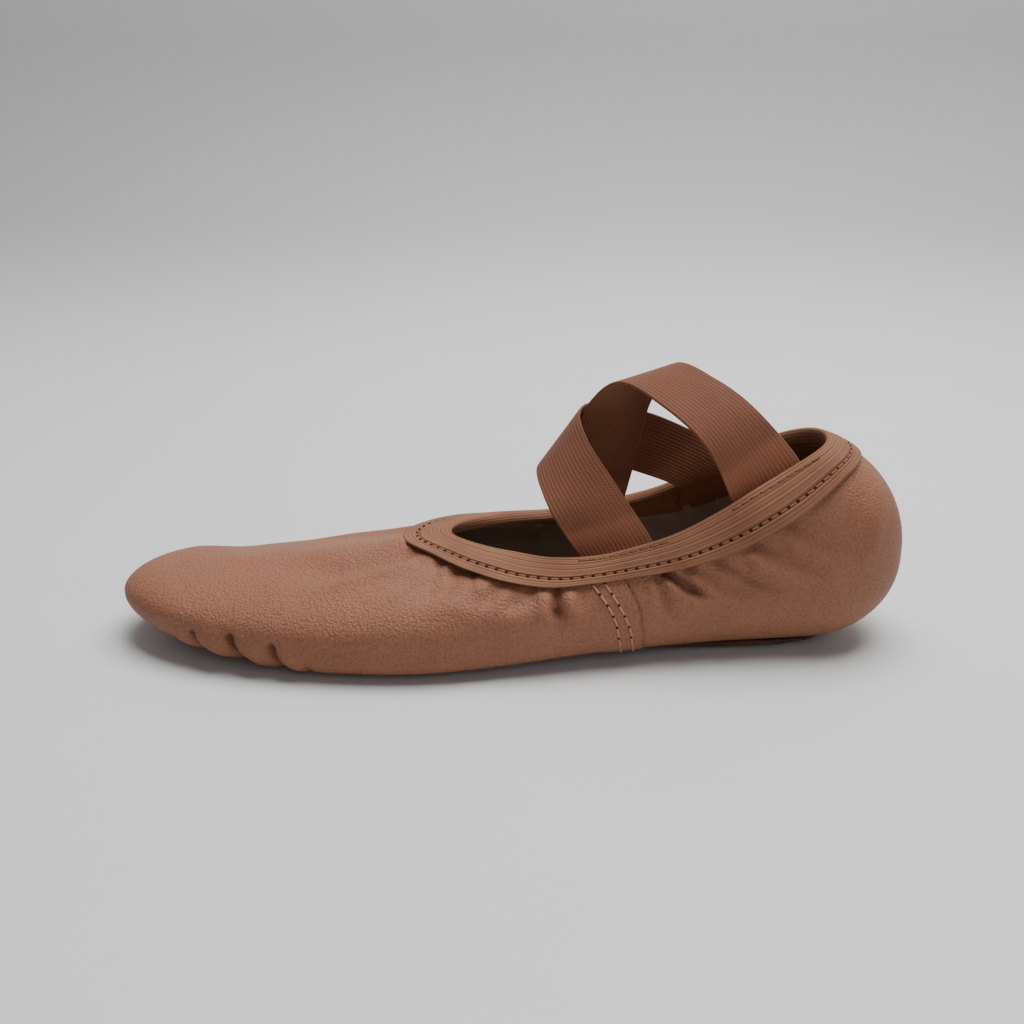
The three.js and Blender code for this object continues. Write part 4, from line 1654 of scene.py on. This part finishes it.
@dataclass
class Sewing:
    """All rows of stitches that show."""

    last: Last
    binding: Binding
    seam_first: Line = ((22.2, 24.9), (25.4, 21.2), (27.7, 17.3), (29.2, 12.8), (30.4, 6.5))
    seam_second: Line = ((25.6, 25.1), (28.2, 21.6), (30.7, 17.4), (32.6, 12.8), (33.9, 6.5))
    seam_points: int = 60
    seam_spacing: float = 3.3
    seam_out: float = 0.45
    strap_points: int = 40
    strap_level: float = 0.83
    strap_spacing: float = 2.6
    strap_over: float = 1.0
    strap_out: float = 0.12
    slope_step: float = 0.5
    spacing_trim: float = 1e-5
    binding_size: StitchSize = StitchSize(0.21, 0.14, 0.68)
    seam_size: StitchSize = StitchSize(0.27, 0.42, 0.42)
    strap_size: StitchSize = StitchSize(0.2, 0.25, 0.34)

    def _on_side(self, line: Line, side: float) -> tuple[Array, Array, bool]:
        """A seam line on one side of the shoe with its outward directions."""
        places = np.array(line)
        share = np.linspace(0.0, 1.0, len(places))
        fine = np.linspace(0.0, 1.0, self.seam_points)
        x = np.interp(fine, share, places[:, 0])
        z = np.interp(fine, share, places[:, 1])
        points = np.stack([x, side * self.last.half_width(x, z, self.seam_out), z], axis=1)
        return points, self._outward(points), False

    def _outward(self, points: Array) -> Array:
        """Outward directions of the last near points on its wall."""
        step = self.slope_step
        side = np.sign(points[:, 1])
        x, z = points[:, 0], points[:, 2]
        slope_x = (self.last.half_width(x + step, z) - self.last.half_width(x - step, z)) / (2 * step)
        slope_z = (self.last.half_width(x, z + step) - self.last.half_width(x, z - step)) / (2 * step)
        out = np.stack([-slope_x, side, -slope_z], axis=1)
        return out / np.linalg.norm(out, axis=1, keepdims=True)

    def _on_binding(self, end: SewnEnd, side: float) -> tuple[Array, Array, bool]:
        """The row that holds one end of an elastic, just below the binding's top edge."""
        x = np.linspace(end.front - self.strap_over, end.back + self.strap_over, self.strap_points)
        out = self.binding.gap + self.binding.tape + self.strap_out
        points = self.last.on_collar(x, side, self.strap_level, out)
        return points, self._outward(points), False

    def build(self, row: Array, straps: Sequence[Strap]) -> None:
        """Lays every row of stitches.

        Args:
            row: the line of the binding's stitches.
            straps: the elastics whose ends are sewn.
        """
        # Dark beads in the needle holes are painted shade
        hole = NEEDLE_HOLE_SHADE.material()
        round_row = (row, self._outward(row + np.array([0.0, SMALL, 0.0])), True)
        spacing = lengths(row, True)[-1] / self.binding.stitch_count * (1 - self.spacing_trim)
        seam_lines = (self.seam_first, self.seam_second)
        seams = [self._on_side(line, side) for line in seam_lines for side in SIDES]
        ends = [
            self._on_binding(end, side)
            for strap in straps
            for end, side in zip((strap.near, strap.far), SIDES)
        ]
        rows = (
            ("binding", spacing, self.binding_size, [round_row], TAPE_THREAD, "binding_tape"),
            ("seam", self.seam_spacing, self.seam_size, seams, THREAD, "leather"),
            ("strap", self.strap_spacing, self.strap_size, ends, DARK_THREAD, "strap_elastic"),
        )
        for name, step, size, lines, finish, slot in rows:
            threads = StitchRow(Mark.THREAD, step, size.thread, size.arch)
            threads.build(name + "_stitches", lines, finish.material(), slot)
            holes = StitchRow(Mark.HOLE, step, size.hole, 0.0)
            holes.build(name + "_needle_hole_shade", lines, hole, slot)


# The studio

class SoftLight(NamedTuple):
    """A square light: where it hangs, the point it faces, its side in metres and its watts."""

    name: str
    place: Place
    aim: Place
    size: float
    power: float


@dataclass(frozen=True)
class Studio:
    """Pale floor curving up behind, soft light and the camera."""

    lights: tuple[SoftLight, ...] = (
        SoftLight("overhead", (0.16, 0.2, 0.94), (0.0, 0.02, 0.0), 0.8, 17.0),
        SoftLight("front_fill", (0.45, -1.0, 0.5), (0.0, 0.0, 0.03), 0.9, 2.6),
    )
    room_tone: tuple[float, ...] = (0.9, 0.95, 1.0, 1.0)
    room_strength: float = 0.09
    paper_deep: Tone = tone(222, 222, 222)
    paper_pale: Tone = tone(226, 226, 226)
    wall_painted_shade: Tone = tone(184, 184, 185)
    wall_shade_from: float = 2.0
    wall_shade_to: float = 110.0
    cove_steps: int = 24
    cove_start: float = 0.26
    cove_radius: float = 0.22
    half_width: float = 2.4
    front: float = -3.0
    wall_height: float = 1.4
    lens: float = 36.1
    sensor: float = 36.0
    distance: float = 0.303
    elevation: float = 18.0
    target: Place = (0.0005, 0.0, 0.036)
    clip_start: float = 0.01

    def build(self) -> None:
        """Sets up the floor, the lights and the camera."""
        self._floor()
        self._lights()
        self._camera()

    def _floor(self) -> None:
        """A floor that sweeps up into a plain wall."""
        turn = np.linspace(0.0, np.pi / 2, self.cove_steps)
        y = np.concatenate([[self.front], self.cove_start + self.cove_radius * np.sin(turn)])
        z = np.concatenate([[0.0], self.cove_radius * (1.0 - np.cos(turn))])
        y = np.append(y, y[-1])
        z = np.append(z, self.wall_height)
        points = [(side * self.half_width, float(b), float(c)) for b, c in zip(y, z) for side in SIDES]
        faces = [(2 * i, 2 * i + 1, 2 * i + 3, 2 * i + 2) for i in range(len(y) - 1)]
        mesh = bpy.data.meshes.new("studio_floor")
        mesh.from_pydata(points, [], faces)
        mesh.polygons.foreach_set("use_smooth", np.ones(len(faces), bool))
        shade = Shade("studio_paper")
        place = shade.place()
        cloud = shade.noise(place, 0.02, 2.0)
        height = shade.node("ShaderNodeSeparateXYZ", {}, {0: place}, "Z")
        paper = shade.mix(cloud, self.paper_deep, self.paper_pale)
        # Painted shade: the paper darkens with height, from the floor up the wall
        colour = shade.mix(height.between(self.wall_shade_from, self.wall_shade_to), paper, self.wall_painted_shade)
        mesh.materials.append(shade.feed(Base_Color=colour, Roughness=0.55))
        floor = bpy.data.objects.new("studio_floor", mesh)
        bpy.context.scene.collection.objects.link(floor)

    def _lights(self) -> None:
        """A broad light overhead, a weak one from the front, and a dim room."""
        for light in self.lights:
            self._area(light)
        world = bpy.data.worlds.new("room")
        world.use_nodes = True
        background = world.node_tree.nodes["Background"]
        background.inputs["Color"].default_value = self.room_tone
        background.inputs["Strength"].default_value = self.room_strength
        bpy.context.scene.world = world

    @staticmethod
    def _area(light: SoftLight) -> None:
        """Adds a square soft light."""
        lamp = bpy.data.lights.new(light.name, "AREA")
        lamp.size = light.size
        lamp.energy = light.power
        hung = bpy.data.objects.new(light.name, lamp)
        hung.location = light.place
        hung.rotation_euler = (Vector(light.aim) - Vector(light.place)).to_track_quat("-Z", "Y").to_euler()
        bpy.context.scene.collection.objects.link(hung)

    def _camera(self) -> None:
        """The camera at the height and distance that the object was seen from."""
        camera = bpy.data.cameras.new("camera")
        camera.lens = self.lens
        camera.sensor_width = self.sensor
        camera.clip_start = self.clip_start
        view = bpy.data.objects.new("camera", camera)
        lift = math.radians(self.elevation)
        back = Vector((0.0, -math.cos(lift), math.sin(lift)))
        view.location = Vector(self.target) + back * self.distance
        view.rotation_euler = (-back).to_track_quat("-Z", "Y").to_euler()
        bpy.context.scene.collection.objects.link(view)
        bpy.context.scene.camera = view


def corners(box: Any) -> list[list[float]]:
    """A box's two corners as plain lists."""
    return [[float(value) for value in corner] for corner in box]


def main() -> None:
    """Builds the shoe piece by piece around its frame."""
    logging.basicConfig(level=logging.INFO, format="%(message)s")
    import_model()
    last = Last()
    ribs = Ribs(last)
    elastic = ELASTIC.material()
    lining = LINING.material()
    straps = [
        Strap("strap_front", last, SewnEnd(20.0, 40.0), SewnEnd(53.0, 71.0), FRONT_BENDS),
        Strap("strap_back", last, SewnEnd(62.0, 82.0), SewnEnd(15.0, 35.0), BACK_BENDS),
    ]
    Upper(last, ribs).build(LEATHER.material(), lining)
    binding = Binding(ribs)
    row = binding.build(TAPE.material())
    for strap in straps:
        strap.build(elastic)
    outsole = Plate(
        "outsole_suede", last, share=0.7, toe=13.0, heel=19.0, lower=1.9, upper=0.3,
        node="outsole", slot="suede",
    )
    outsole.build(SUEDE.material())
    insole = Plate(
        "insole_sock", last, share=0.7, toe=19.0, heel=24.0, lower=-1.7, upper=-3.1,
        node="insole", slot="cotton",
    )
    insole.build(lining)
    Sewing(last, binding).build(row, straps)
    Studio().build()


if __name__ == "__main__":
    main()
